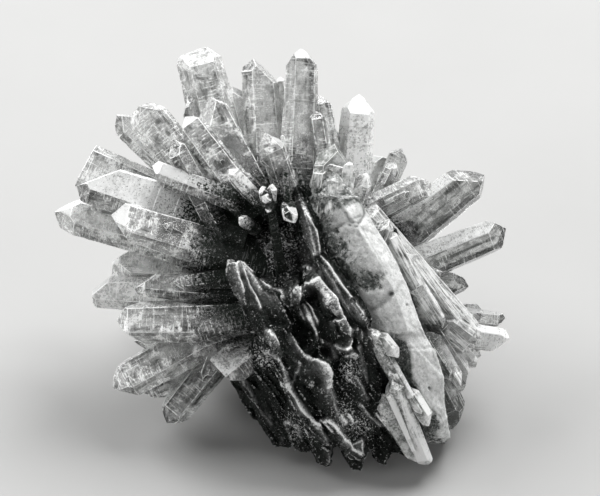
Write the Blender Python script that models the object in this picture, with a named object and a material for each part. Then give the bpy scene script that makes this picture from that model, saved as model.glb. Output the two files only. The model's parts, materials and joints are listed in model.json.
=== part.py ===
"""A quartz cluster: clear crystals that radiate from a dark, chlorite-filled heart.

Everything is one intergrown body, so every crystal is cut from a block by its own crystal faces
and then joined to the heart in a single Boolean union. The cluster rests on the flat break under
its heart, whose middle is the origin.

Places are given in the show frame, in millimetres from the point that the crystals radiate from:
u runs across to the right, v up the show side, and w out of it. The show side leans back, so that
its outward direction w rises SHOW_TILT above the horizon.
"""

import math
import random

import bmesh
import bpy
from mathutils import Matrix, Vector

MM = 0.001
NAME = "quartz_cluster"
SHOW_TILT = math.radians(40)
HUB = Vector((-9, -1, 32))  # the radiating point, in world millimetres from the break's middle
SHOW_AXES = Matrix(
    (
        (1, 0, 0),
        (0, math.sin(SHOW_TILT), -math.cos(SHOW_TILT)),
        (0, math.cos(SHOW_TILT), math.sin(SHOW_TILT)),
    )
)  # its columns are u, v and w as world directions

# Quartz: six prism faces, and ends whose rhombohedral faces lie 38.2 degrees from the long axis.
SIDES = 6
END_FACE_TO_AXIS = math.radians(38.2)
TAPER = math.radians(1.6)  # each prism face leans in towards the point by this much
FACE_SPREAD = (0.9, 1.08)  # of a prism face's distance from the axis, as a share of the even one
POINT_LEAN = 0.2  # how far a point may stand off its axis, as a share of the width
SMALL_FACE_RISE = (0.12, 0.45)  # how far a small end face is raised, as a share of the width
LARGE_FACE_RISE = (0.0, 0.06)
BREAK_SLANT = 0.15  # the steepest slant of a broken point

# A growth is given by its name: root, point, width, flatness, turn. Flatness is its thickness
# towards the show side as a share of its width. A turn of 0 degrees shows a prism face, and one
# of 30 shows an edge.
CRYSTALS = {
    # left side, from the top down
    "left_high_blunt": ((-10, 10, -12), (-51, 29.4, -12), 9.0, 0.8, 10),
    "left_high_broad": ((-8, 11, 3), (-45, 23.2, 2), 8.4, 0.8, 22),
    "left_high_rider": ((-4, 15.5, 5), (-28.5, 24.5, 4), 4.6, 0.8, 25),
    "left_longest": ((-10, 6, -5), (-51, 16.2, -4), 7.4, 0.85, 14),
    "left_front": ((-3, 4.5, 2.5), (-37.5, 14.8, 9.5), 7.2, 0.7, 20),
    "left_dusty": ((-6, 2, -7), (-40, 3.5, -11), 8.2, 0.8, 40),
    "left_worn": ((-9, -3, -4), (-43.5, -1.5, -6), 6.0, 0.9, 5),
    "left_middle": ((-9, -1.5, 4), (-33, 0.5, 2), 5.0, 0.85, 20),
    "left_sliver": ((-9, 1, 7), (-22.5, 0.5, 6), 2.6, 0.8, 30),
    "left_low_broad": ((-6, -7.5, 5), (-36.8, -8, 2), 8.0, 0.75, 10),
    "left_low_hidden": ((-8, -8, -4), (-33.5, -12.5, -6), 5.0, 0.8, 0),
    "low_left_broad": ((-6, -5, 2), (-38, -23, -2), 7.6, 0.75, 22),
    "low_left_hidden": ((-8, -12, -7), (-31.5, -24, -9), 5.4, 0.8, 0),
    "low_left_last": ((-7, -6, -4), (-26.5, -30.5, -6), 6.4, 0.8, 8),
    "low_left_stub": ((2, -6, 4), (-16, -20.5, 7), 8.0, 0.85, 25),
    "low_left_stub_back": ((2, -3, 3), (-18.5, -17, 4), 6.4, 0.8, 10),
    "low_left_ledge": ((0, -4, 8), (-20.5, -11.5, 8), 5.0, 0.8, 15),
    "low_left_drop": ((-14, -11, 4), (-18, -21, 3), 2.6, 0.9, 10),
    # upper left
    "fan_left_back": ((-10, 12, -9), (-37.8, 37.5, -9), 5.4, 0.8, 20),
    "fan_left": ((-9, 10, -2), (-32.8, 40.5, -2), 8.0, 0.8, 8),
    "fan_left_bud": ((-13, 10, 5), (-24.5, 31.5, 8), 4.4, 0.9, 30),
    "fan_inner": ((-6, 15, 6), (-22, 36.5, 6), 5.6, 0.9, 10),
    "fan_inner_broad": ((-4, 14, 2), (-17.5, 40.5, 2), 7.4, 0.75, 20),
    "crown_left": ((-9.5, 14, -8), (-20.2, 54.8, -9), 8.9, 0.85, 6),
    "crown_left_bud": ((-13, 22, -7), (-22.3, 41.5, -6), 4.4, 0.9, 35),
    # top
    "crown_small": ((-4, 18, -3), (-11, 44, -2), 3.8, 0.9, 0),
    "crown_middle": ((-3.4, 14, -1), (-6, 49.8, -1), 7.2, 0.8, 12),
    "crown_sliver": ((0, 18, -4), (-1.5, 46, -3), 2.8, 0.9, 20),
    "crown_right": ((2.8, 14, 3), (4, 51.8, 3), 6.2, 0.85, 14),
    "crown_right_back": ((12, 16, -3), (7.5, 42, -1), 4.4, 0.8, 25),
    "crown_right_front": ((10, 14, 3), (6.5, 38, 4), 4.2, 0.9, 10),
    "crown_right_bud": ((12, 18, -4), (11, 34.5, -3), 2.6, 0.9, 0),
    # upper right
    "bright_finger": ((13.8, 10, -2), (16.4, 42, -2), 6.2, 0.9, 6),
    "right_bud": ((16, 10, -6), (21.5, 30, -6), 4.4, 0.9, 20),
    "right_bud_tall": ((16, 8, -4), (26, 30, -4), 3.8, 0.8, 5),
    "right_bud_front": ((15, 8, 0), (24.5, 27, -1), 3.2, 0.9, 30),
    "right_shelf": ((12, 13, 3), (32, 23, 0), 5.4, 0.8, 10),
    "right_clear": ((14, 2, -6), (43.5, 25.3, -8), 8.0, 0.8, 15),
    "right_long": ((14, -2, -5), (49.3, 12, -6), 6.8, 0.85, 22),
    # right side
    "right_twin_upper": ((18, 2, -10), (41, -0.5, -10), 4.6, 0.9, 10),
    "right_twin_lower": ((18, 0, -12), (37.5, -4, -12), 4.8, 0.9, 30),
    "right_low_small": ((24, -5, -8), (49, -8, -8), 3.2, 0.9, 0),
    "right_low_main": ((24, -9, -4), (49.5, -12.5, -4), 4.8, 0.9, 10),
    "right_low_back": ((24, -9, -11), (44.5, -6, -10), 4.4, 0.9, 20),
    "right_low_drop": ((27, -11, -6), (43.5, -16, -6), 3.0, 0.9, 0),
    # short points that stand out of the show side
    "front_club": ((2, 16, 6), (-3.5, 32.5, 15), 4.8, 0.8, 10),
    "front_left_bud": ((-1, 15, 6), (-11, 24.5, 14), 4.2, 0.7, 20),
    "front_bud": ((-1, 10, 5), (-3, 21, 16), 3.4, 0.9, 0),
    "front_lump": ((3, 8, 6), (1.5, 17.5, 17), 3.0, 0.9, 30),
    "front_stem": ((4, 14, 6), (0, 33, 9), 2.8, 0.8, 10),
    "front_seed": ((-6, 12, 6), (-9.5, 14.5, 14), 2.2, 0.9, 0),
    "front_milky": ((8, 10, 5), (12.2, 28.5, 9), 8.4, 0.6, 8),
    "front_milky_side": ((11, 8, 4), (17, 24.5, 8), 5.4, 0.8, 15),
    "front_milky_step": ((9, 8, 6), (9, 23.5, 11), 5.0, 0.7, 30),
    "front_knob": ((6, -7, 8), (2.4, -1.5, 16.5), 4.0, 0.9, 0),
    "front_boss": ((6, -22, 6), (-1, -16.5, 15.5), 4.4, 0.8, 10),
}

# Crystals whose point is missing, and the share of their width that it is cut back by.
BROKEN_POINTS = {
    "left_high_blunt": 0.75,
    "left_worn": 0.3,
    "crown_left": 0.3,
    "fan_left": 0.2,
    "low_left_stub": 0.35,
    "low_left_ledge": 0.4,
    "left_dusty": 0.5,
    "right_bud": 0.4,
    "front_milky": 0.3,
}

# The long blades that lie along the heart and run down to the right, with a point at each end.
BLADES = {
    # the milky trunk, of six that grew side by side
    "trunk_high": ((9.5, 20.5, 10), (28.5, -9, 11), 12.4, 0.6, 8),
    "trunk_head": ((14.5, 6, 11), (12.2, 20.8, 12), 9.4, 0.6, 0),
    "trunk_left": ((9, 14, 11), (24, -11.5, 13.5), 7.6, 0.7, 30),
    "trunk_right": ((14.5, 19, 8), (30, -7, 9), 8.0, 0.8, 20),
    "trunk_middle": ((16, 11, 9), (32.4, -22, 9), 10.0, 0.65, 20),
    "trunk_low": ((25, -1, 8.5), (35, -32.8, 3), 8.8, 0.7, 10),
    # the ribbed plate behind it, from its straight upper edge down
    "rib_edge": ((15.5, 18, 4), (43.5, -12.3, -5), 4.2, 0.8, 30),
    "rib_upper": ((24, 6, 1), (42.5, -14.5, -5), 6.4, 0.7, 20),
    "rib_middle": ((25, 2, 2), (41.5, -18.5, -5), 6.4, 0.7, 30),
    "rib_lower": ((26, -2, 3), (40.5, -22.5, -4), 6.4, 0.7, 15),
    "dark_end": ((26, -8, 1), (38, -32, -6), 8.0, 0.8, 10),
    "dark_end_low": ((24, -14, 3), (34.5, -35, -3), 6.4, 0.8, 20),
    # the arrow and what lies beside it
    "arrow": ((17.5, -18.5, 12), (31.4, -39.8, 2), 6.8, 0.6, 30),
    "arrow_rider": ((18.5, -8, 13), (31, -29.5, 8), 3.8, 0.8, 25),
    "ridge_outer": ((15, -8, 13), (20.5, -31, 6), 5.2, 0.7, 30),
    "ridge_middle": ((11, -15, 13), (18.5, -35.5, 4), 5.4, 0.7, 25),
    "ridge_bud": ((20.5, -8, 13), (24.2, -16.5, 14.5), 3.8, 0.8, 0),
    # the knobbly ridges in the middle
    "whale": ((2.5, -9.5, 11), (14, -35, 6), 9.6, 0.65, 22),
    "whale_rim": ((6.5, -14, 13), (13.5, -30, 9), 4.6, 0.8, 30),
    "crescent": ((4, 4.5, 11), (14.5, -12, 14), 4.6, 0.8, 30),
    "boss": ((9.5, -4, 12), (15.8, -20, 12.5), 5.4, 0.8, 20),
    "streak": ((4, -2, 11), (8, -15, 13.5), 3.8, 0.8, 30),
    # the spine between the recess and the trunk
    "spine_high": ((3.5, 22.5, 9), (8.5, 2, 13), 3.4, 0.8, 30),
    "spine_low": ((7, 7, 12), (18.5, -9, 14), 4.0, 0.8, 30),
    # the left fin and the flank under it
    "fin_high": ((3, -20, 12), (-11.4, 5.8, 14), 6.0, 0.55, 30),
    "fin_rider": ((6, -22, 12), (-6, 0.5, 13), 4.4, 0.7, 20),
    "fin_low": ((10.5, -35, 4), (-3.5, -8.5, 16), 5.4, 0.6, 30),
    "flank_inner": ((-6, -11, 9), (6, -36.5, 1), 6.6, 0.7, 25),
    "flank_outer": ((-9.5, -14, 4), (0.5, -36, -3), 6.2, 0.75, 15),
    "flank_ledge": ((-12, -15, -1), (-3.5, -31, -5), 5.6, 0.8, 30),
    # the fringe along the bottom
    "fringe_left": ((4, -27, 6), (9.6, -39.8, 1), 4.2, 0.8, 10),
    "fringe_bright": ((8, -26, 10), (17.5, -38, 4), 4.0, 0.7, 30),
    "fringe_middle": ((12, -30, 5), (16.5, -40.5, 1), 4.2, 0.8, 15),
    "fringe_right": ((16.5, -25, 6), (22.5, -39, 1), 4.8, 0.8, 20),
    "fringe_last": ((20, -28, 5), (26, -37.5, 1), 4.4, 0.8, 30),
}

# The heart: broken lumps of chlorite-filled quartz, each with its middle and its half-lengths.
LUMPS = {
    NAME: ((2, 1, -3), (17, 19, 12)),
    "heart_foot": ((10, -12, -9), (22, 22, 20)),
    "heart_heel": ((-1, -12, -20), (13, 12, 13)),
    "heart_front": ((10, -16, 2), (15, 20, 11.5)),
    "heart_brow": ((8, -8, 6), (12, 13, 7)),
    "heart_shoulder": ((17, 2, -3), (13, 17, 13)),
    "heart_crown": ((-3, 11, -6), (12, 9, 8.5)),
}
LUMP_FACES = 44
LUMP_DEPTH = (0.86, 1.0)  # of a broken face from the lump's middle, as a share of its radius

# The far side's crystals. Each set holds how many directions there are over the whole ball, of
# which the far side keeps its own, the place that they radiate from, their least and greatest
# length and width, and how far from the hub their points may reach across the show side.
FAR_SETS = {
    "far": (96, (2, -1, -1), (30.0, 49.0), (4.6, 9.0), 31.0),
    "far_short": (130, (2, -1, -1), (20.0, 29.0), (3.2, 5.2), 29.0),
    "foot": (90, (8, -12, -11), (23.0, 29.0), (3.6, 6.4), 20.0),
}
FAR_EDGE = -0.2  # a far-side crystal's direction has at most this share along w
LOWEST_SLOPE = -0.7  # no far-side crystal dives more steeply than this
FLOOR_CLEARANCE = 3.0  # of a far-side point
ROOT_DEPTH = 4.0  # of a far-side crystal's root from where its set radiates from
SPREAD_JITTER = 0.1


def to_world(place):
    """A show-frame place in millimetres as a world place in metres."""
    return (SHOW_AXES @ Vector(place) + HUB) * MM


def new_collection(name):
    made = bpy.data.collections.new(name)
    bpy.context.scene.collection.children.link(made)
    return made


def add_object(name, bm, collection, matrix):
    mesh = bpy.data.meshes.new(name)
    bm.to_mesh(mesh)
    bm.free()
    obj = bpy.data.objects.new(name, mesh)
    obj.matrix_world = matrix
    collection.objects.link(obj)
    return obj


def growth_matrix(root, point, turn):
    """The frame of a growth from root to point: Z along it, X towards the show side."""
    along = (point - root).normalized()
    outward = SHOW_AXES.col[2].copy()
    outward = (outward - along * outward.dot(along)).normalized()
    axes = Matrix((outward, along.cross(outward), along)).transposed().to_4x4()
    return Matrix.Translation(root) @ axes @ Matrix.Rotation(math.radians(turn), 4, "Z")


def cut(bm, point, normal):
    """Cuts off what lies beyond a plane and closes the body with a flat face."""
    everything = bm.verts[:] + bm.edges[:] + bm.faces[:]
    bmesh.ops.bisect_plane(
        bm, geom=everything, plane_co=point, plane_no=normal, clear_outer=True
    )
    rim = [edge for edge in bm.edges if edge.is_boundary]
    if rim:
        bmesh.ops.edgeloop_fill(bm, edges=rim)


def side_directions():
    for side in range(SIDES):
        angle = side * math.tau / SIDES
        yield Vector((math.cos(angle), math.sin(angle), 0))


def cut_point(bm, tip, way, width, draw):
    """Cuts the end faces that meet near the tip; way is +1 for the upper end, -1 for the lower."""
    lean = Vector((draw.uniform(-1, 1), draw.uniform(-1, 1), 0)) * POINT_LEAN * width
    first = draw.randrange(2)
    for side, outward in enumerate(side_directions()):
        rise_range = SMALL_FACE_RISE if side % 2 == first else LARGE_FACE_RISE
        rise = Vector((0, 0, way * draw.uniform(*rise_range) * width))
        slope = Vector((0, 0, way * math.sin(END_FACE_TO_AXIS)))
        cut(bm, tip + lean + rise, outward * math.cos(END_FACE_TO_AXIS) + slope)


def crystal_body(length, width, flatness, broken, two_points, draw):
    """A crystal along +Z, from the origin to its point, cut from a block by its faces."""
    bm = bmesh.new()
    block = Matrix.Translation((0, 0, length / 2)) @ Matrix.Diagonal(
        (3 * width, 3 * width, 1.2 * length, 1)
    )
    bmesh.ops.create_cube(bm, size=1, matrix=block)
    cut(bm, Vector(), Vector((0, 0, -1)))
    for side, outward in enumerate(side_directions()):
        reach = width / 2 * draw.uniform(*FACE_SPREAD)
        if side % 3 == 0:
            reach *= flatness
        shoulder = outward * reach + Vector((0, 0, length - width / 2))
        cut(bm, shoulder, outward + Vector((0, 0, math.tan(TAPER))))
    cut_point(bm, Vector((0, 0, length)), 1, width, draw)
    if two_points:
        cut_point(bm, Vector(), -1, width, draw)
    if broken:
        slant = Vector((draw.uniform(-1, 1), draw.uniform(-1, 1), 1 / BREAK_SLANT))
        cut(bm, Vector((0, 0, length - broken * width)), slant)
    bmesh.ops.dissolve_degenerate(bm, edges=bm.edges, dist=0.01 * MM)
    bmesh.ops.recalc_face_normals(bm, faces=bm.faces)
    return bm


def add_crystal(name, growth, two_points, collection):
    root, point, width, flatness, turn = growth
    root, point = to_world(root), to_world(point)
    broken = BROKEN_POINTS.get(name, 0)
    length = (point - root).length
    draw = random.Random(name)
    body = crystal_body(length, width * MM, flatness, broken, two_points, draw)
    add_object(name, body, collection, growth_matrix(root, point, turn))


def spread_directions(count, draw):
    """Unit vectors spread over the whole ball by the golden angle, and then jittered."""
    golden = math.pi * (3 - math.sqrt(5))
    for index in range(count):
        z = 1 - 2 * (index + 0.5) / count
        ring = math.sqrt(1 - z * z)
        turn = index * golden
        way = Vector((ring * math.cos(turn), ring * math.sin(turn), z))
        way += Vector([draw.uniform(-SPREAD_JITTER, SPREAD_JITTER) for _ in range(3)])
        yield way.normalized()


def add_lump(name, collection):
    """A lump of the heart, cut from a block by its broken faces."""
    middle, radii = LUMPS[name]
    draw = random.Random(name)
    bm = bmesh.new()
    bmesh.ops.create_cube(bm, size=4)
    for way in spread_directions(LUMP_FACES, draw):
        cut(bm, way * draw.uniform(*LUMP_DEPTH), way)
    bmesh.ops.scale(bm, vec=Vector(radii) * MM, verts=bm.verts)
    bmesh.ops.dissolve_degenerate(bm, edges=bm.edges, dist=0.01 * MM)
    bmesh.ops.recalc_face_normals(bm, faces=bm.faces)
    frame = Matrix.Translation(to_world(middle)) @ SHOW_AXES.to_4x4()
    return add_object(name, bm, collection, frame)


def add_far_crystals(label, collection):
    count, hub, lengths, widths, reach = FAR_SETS[label]
    hub = Vector(hub)
    height = to_world(hub).z / MM - FLOOR_CLEARANCE
    draw = random.Random(label)
    for index, way in enumerate(spread_directions(count, draw)):
        rise = way.dot(SHOW_AXES.row[2])
        if way.z > FAR_EDGE or rise < LOWEST_SLOPE:
            continue
        length = min(draw.uniform(*lengths), reach / math.hypot(way.x, way.y))
        if rise < 0:
            length = min(length, -height / rise)
        width = draw.uniform(*widths) * length / lengths[1]
        shape = (width, draw.uniform(0.7, 0.95), draw.uniform(0, 60))
        growth = (hub + way * ROOT_DEPTH, hub + way * length, *shape)
        add_crystal(f"{label}_{index:03d}", growth, False, collection)


def add_floor_cutter(collection):
    """A block whose top is the plane that the cluster is broken off at."""
    bm = bmesh.new()
    size = 300 * MM
    bmesh.ops.create_cube(bm, size=size)
    return add_object("floor_cutter", bm, collection, Matrix.Translation((0, 0, -size / 2)))


def boolean(obj, operation, other):
    modifier = obj.modifiers.new(operation.title(), "BOOLEAN")
    modifier.operation = operation
    modifier.solver = "EXACT"
    if isinstance(other, bpy.types.Collection):
        modifier.operand_type = "COLLECTION"
        modifier.collection = other
    else:
        modifier.object = other


def quartz_material():
    material = bpy.data.materials.new("clear_quartz")
    material.use_nodes = True
    shader = material.node_tree.nodes["Principled BSDF"]
    shader.inputs["Base Color"].default_value = (0.82, 0.84, 0.83, 1)
    shader.inputs["Roughness"].default_value = 0.12
    shader.inputs["IOR"].default_value = 1.544
    shader.inputs["Transmission Weight"].default_value = 0.8
    return material


def build():
    for old in list(bpy.data.objects):
        bpy.data.objects.remove(old)
    shown = new_collection(NAME)
    growths = new_collection("growths")
    cutters = new_collection("cutters")
    for name, growth in CRYSTALS.items():
        add_crystal(name, growth, False, growths)
    for name, growth in BLADES.items():
        add_crystal(name, growth, True, growths)
    for label in FAR_SETS:
        add_far_crystals(label, growths)
    cluster = add_lump(NAME, shown)
    for name in LUMPS:
        if name != NAME:
            add_lump(name, growths)
    cluster.data.materials.append(quartz_material())
    boolean(cluster, "UNION", growths)
    boolean(cluster, "DIFFERENCE", add_floor_cutter(cutters))
    for helper in [*growths.objects, *cutters.objects]:
        helper.hide_render = True
        helper.display_type = "WIRE"


build()
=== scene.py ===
import json
import math
import random

import bmesh
import bpy
import numpy as np
from mathutils import Matrix, Vector, noise

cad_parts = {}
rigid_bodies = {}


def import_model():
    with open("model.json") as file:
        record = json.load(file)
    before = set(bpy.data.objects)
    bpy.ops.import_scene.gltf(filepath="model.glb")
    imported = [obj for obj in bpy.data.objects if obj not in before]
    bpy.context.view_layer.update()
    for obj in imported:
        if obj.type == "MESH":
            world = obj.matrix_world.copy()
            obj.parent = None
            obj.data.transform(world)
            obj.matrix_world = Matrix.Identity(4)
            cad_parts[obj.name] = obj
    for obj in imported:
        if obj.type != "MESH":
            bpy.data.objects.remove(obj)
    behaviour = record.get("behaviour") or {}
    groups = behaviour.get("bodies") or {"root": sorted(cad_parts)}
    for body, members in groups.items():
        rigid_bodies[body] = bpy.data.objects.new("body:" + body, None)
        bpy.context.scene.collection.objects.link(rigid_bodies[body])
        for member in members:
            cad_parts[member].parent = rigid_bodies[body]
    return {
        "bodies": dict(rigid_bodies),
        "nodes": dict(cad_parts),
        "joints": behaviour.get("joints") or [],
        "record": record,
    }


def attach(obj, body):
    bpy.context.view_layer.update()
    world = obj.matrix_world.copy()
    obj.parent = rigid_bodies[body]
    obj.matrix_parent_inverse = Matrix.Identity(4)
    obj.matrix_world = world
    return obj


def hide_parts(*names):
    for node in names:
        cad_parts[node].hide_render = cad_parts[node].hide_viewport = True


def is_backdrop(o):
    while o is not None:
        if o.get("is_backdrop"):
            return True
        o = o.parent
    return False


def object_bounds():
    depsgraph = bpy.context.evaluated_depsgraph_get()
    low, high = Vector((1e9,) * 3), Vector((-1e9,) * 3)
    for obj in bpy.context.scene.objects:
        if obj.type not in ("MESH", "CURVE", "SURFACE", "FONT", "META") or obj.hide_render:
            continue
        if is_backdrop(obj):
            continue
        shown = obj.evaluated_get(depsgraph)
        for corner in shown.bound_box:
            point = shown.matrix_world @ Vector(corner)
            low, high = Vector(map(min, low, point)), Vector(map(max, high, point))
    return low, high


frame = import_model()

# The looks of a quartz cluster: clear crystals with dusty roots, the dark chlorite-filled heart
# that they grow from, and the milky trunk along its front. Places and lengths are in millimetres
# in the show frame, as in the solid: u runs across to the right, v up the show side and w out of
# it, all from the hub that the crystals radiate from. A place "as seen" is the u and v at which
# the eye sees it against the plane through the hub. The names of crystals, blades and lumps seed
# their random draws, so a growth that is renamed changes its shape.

MM = 0.001
NODE = "quartz_cluster"  # the CAD node that the pieces stand for
CAD_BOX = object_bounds()
SHOW_TILT = math.radians(40)
HUB = Vector((-9, -1, 32))
SHOW_AXES = Matrix(
    (
        (1, 0, 0),
        (0, math.sin(SHOW_TILT), -math.cos(SHOW_TILT)),
        (0, math.cos(SHOW_TILT), math.sin(SHOW_TILT)),
    )
)

# The eye: how far it is from the plane through the hub, and the middle and width of what it sees.
EYE_DISTANCE = 600
FRAME_CENTRE = (3.3, 8.14)
FRAME_WIDTH = 132
SENSOR_WIDTH = 36

# Quartz: six prism faces, and ends whose rhombohedral faces lie 38.2 degrees from the long axis.
SIDES = 6
END_FACE_TO_AXIS = math.radians(38.2)
TAPER = math.radians(1.6)  # each prism face leans in towards the point by this much
FACE_SPREAD = (0.9, 1.08)  # of a prism face's distance from the axis, as a share of the even one
POINT_LEAN = 0.2  # how far a point may stand off its axis, as a share of the width
SMALL_FACE_RISE = (0.12, 0.45)  # how far a small end face is raised, as a share of the width
LARGE_FACE_RISE = (0.0, 0.06)
BREAK_SLANT = 0.15  # the steepest slant of a broken point
BLOCK_WIDTHS = 3  # the block that a crystal is cut from, in its widths and in its lengths
BLOCK_LENGTHS = 1.2
TINY = 0.01 * MM  # edges shorter than this are dissolved

# A growth is given by its name: root, point, width, flatness, turn. Flatness is its thickness
# towards the show side as a share of its width. A turn of 0 degrees shows a prism face, and one
# of 30 shows an edge. The growths here are the solid's own, those of the trunk and the arrow
# apart, which finer shapes stand for.
CRYSTALS = {
    # left side, from the top down
    "left_high_blunt": ((-10, 10, -12), (-51, 29.4, -12), 9.0, 0.8, 10),
    "left_high_broad": ((-8, 11, 3), (-45, 23.2, 2), 8.4, 0.8, 22),
    "left_high_rider": ((-4, 15.5, 5), (-28.5, 24.5, 4), 4.6, 0.8, 25),
    "left_longest": ((-10, 6, -5), (-51, 16.2, -4), 7.4, 0.85, 14),
    "left_front": ((-3, 4.5, 2.5), (-37.5, 14.8, 9.5), 7.2, 0.7, 20),
    "left_dusty": ((-6, 2, -7), (-40, 3.5, -11), 8.2, 0.8, 40),
    "left_worn": ((-9, -3, -4), (-43.5, -1.5, -6), 6.0, 0.9, 5),
    "left_middle": ((-9, -1.5, 4), (-33, 0.5, 2), 5.0, 0.85, 20),
    "left_sliver": ((-9, 1, 7), (-22.5, 0.5, 6), 2.6, 0.8, 30),
    "left_low_broad": ((-6, -7.5, 5), (-36.8, -8, 2), 8.0, 0.75, 10),
    "left_low_hidden": ((-8, -8, -4), (-33.5, -12.5, -6), 5.0, 0.8, 0),
    "low_left_broad": ((-6, -5, 2), (-38, -23, -2), 7.6, 0.75, 22),
    "low_left_hidden": ((-8, -12, -7), (-31.5, -24, -9), 5.4, 0.8, 0),
    "low_left_last": ((-7, -6, -4), (-26.5, -30.5, -6), 6.4, 0.8, 8),
    "low_left_stub": ((2, -6, 4), (-16, -20.5, 7), 8.0, 0.85, 25),
    "low_left_stub_back": ((2, -3, 3), (-18.5, -17, 4), 6.4, 0.8, 10),
    "low_left_ledge": ((0, -4, 8), (-20.5, -11.5, 8), 5.0, 0.8, 15),
    "low_left_drop": ((-14, -11, 4), (-18, -21, 3), 2.6, 0.9, 10),
    # upper left
    "fan_left_back": ((-10, 12, -9), (-37.8, 37.5, -9), 5.4, 0.8, 20),
    "fan_left": ((-9, 10, -2), (-32.8, 40.5, -2), 8.0, 0.8, 8),
    "fan_left_bud": ((-13, 10, 5), (-24.5, 31.5, 8), 4.4, 0.9, 30),
    "fan_inner": ((-6, 15, 6), (-22, 36.5, 6), 5.6, 0.9, 10),
    "fan_inner_broad": ((-4, 14, 2), (-17.5, 40.5, 2), 7.4, 0.75, 20),
    "crown_left": ((-9.5, 14, -8), (-20.2, 54.8, -9), 8.9, 0.85, 6),
    "crown_left_bud": ((-13, 22, -7), (-22.3, 41.5, -6), 4.4, 0.9, 35),
    # top
    "crown_small": ((-4, 18, -3), (-11, 44, -2), 3.8, 0.9, 0),
    "crown_middle": ((-3.4, 14, -1), (-6, 49.8, -1), 7.2, 0.8, 12),
    "crown_sliver": ((0, 18, -4), (-1.5, 46, -3), 2.8, 0.9, 20),
    "crown_right": ((2.8, 14, 3), (4, 51.8, 3), 6.2, 0.85, 14),
    "crown_right_back": ((12, 16, -3), (7.5, 42, -1), 4.4, 0.8, 25),
    "crown_right_front": ((10, 14, 3), (6.5, 38, 4), 4.2, 0.9, 10),
    "crown_right_bud": ((12, 18, -4), (11, 34.5, -3), 2.6, 0.9, 0),
    # upper right
    "bright_finger": ((13.8, 10, -2), (16.4, 42, -2), 6.2, 0.9, 6),
    "right_bud": ((16, 10, -6), (21.5, 30, -6), 4.4, 0.9, 20),
    "right_bud_tall": ((16, 8, -4), (26, 30, -4), 3.8, 0.8, 5),
    "right_bud_front": ((15, 8, 0), (24.5, 27, -1), 3.2, 0.9, 30),
    "right_shelf": ((12, 13, 3), (32, 23, 0), 5.4, 0.8, 10),
    "right_clear": ((14, 2, -6), (43.5, 25.3, -8), 8.0, 0.8, 15),
    "right_long": ((14, -2, -5), (49.3, 12, -6), 6.8, 0.85, 22),
    # right side
    "right_twin_upper": ((18, 2, -10), (41, -0.5, -10), 4.6, 0.9, 10),
    "right_twin_lower": ((18, 0, -12), (37.5, -4, -12), 4.8, 0.9, 30),
    "right_low_small": ((24, -5, -8), (49, -8, -8), 3.2, 0.9, 0),
    "right_low_main": ((24, -9, -4), (49.5, -12.5, -4), 4.8, 0.9, 10),
    "right_low_back": ((24, -9, -11), (44.5, -6, -10), 4.4, 0.9, 20),
    "right_low_drop": ((27, -11, -6), (43.5, -16, -6), 3.0, 0.9, 0),
    # short points that stand out of the show side
    "front_club": ((2, 16, 6), (-3.5, 32.5, 15), 4.8, 0.8, 10),
    "front_left_bud": ((-1, 15, 6), (-11, 24.5, 14), 4.2, 0.7, 20),
    "front_bud": ((-1, 10, 5), (-3, 21, 16), 3.4, 0.9, 0),
    "front_lump": ((3, 8, 6), (1.5, 17.5, 17), 3.0, 0.9, 30),
    "front_stem": ((4, 14, 6), (0, 33, 9), 2.8, 0.8, 10),
    "front_seed": ((-6, 12, 6), (-9.5, 14.5, 14), 2.2, 0.9, 0),
    "front_milky": ((8, 10, 5), (12.2, 28.5, 9), 8.4, 0.6, 8),
    "front_milky_side": ((11, 8, 4), (17, 24.5, 8), 5.4, 0.8, 15),
    "front_milky_step": ((9, 8, 6), (9, 23.5, 11), 5.0, 0.7, 30),
    "front_knob": ((6, -7, 8), (2.4, -1.5, 16.5), 4.0, 0.9, 0),
    "front_boss": ((6, -22, 6), (-1, -16.5, 15.5), 4.4, 0.8, 10),
}
SMALL_HEART_CRYSTALS = ("front_knob", "front_boss")  # these are part of the heart's blades
KNOBBED = ("front_bud", "front_lump", "front_stem")  # the EXTRAS stand for these

# Crystals whose point is broken off or worn, and the share of their width that is missing.
BROKEN_POINTS = {
    "left_high_blunt": 0.75,
    "left_worn": 0.12,
    "crown_left": 0.3,
    "fan_left": 0.2,
    "low_left_stub": 0.35,
    "low_left_ledge": 0.4,
    "left_dusty": 0.15,
    "right_bud": 0.4,
    "front_milky": 0.3,
}

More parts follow.
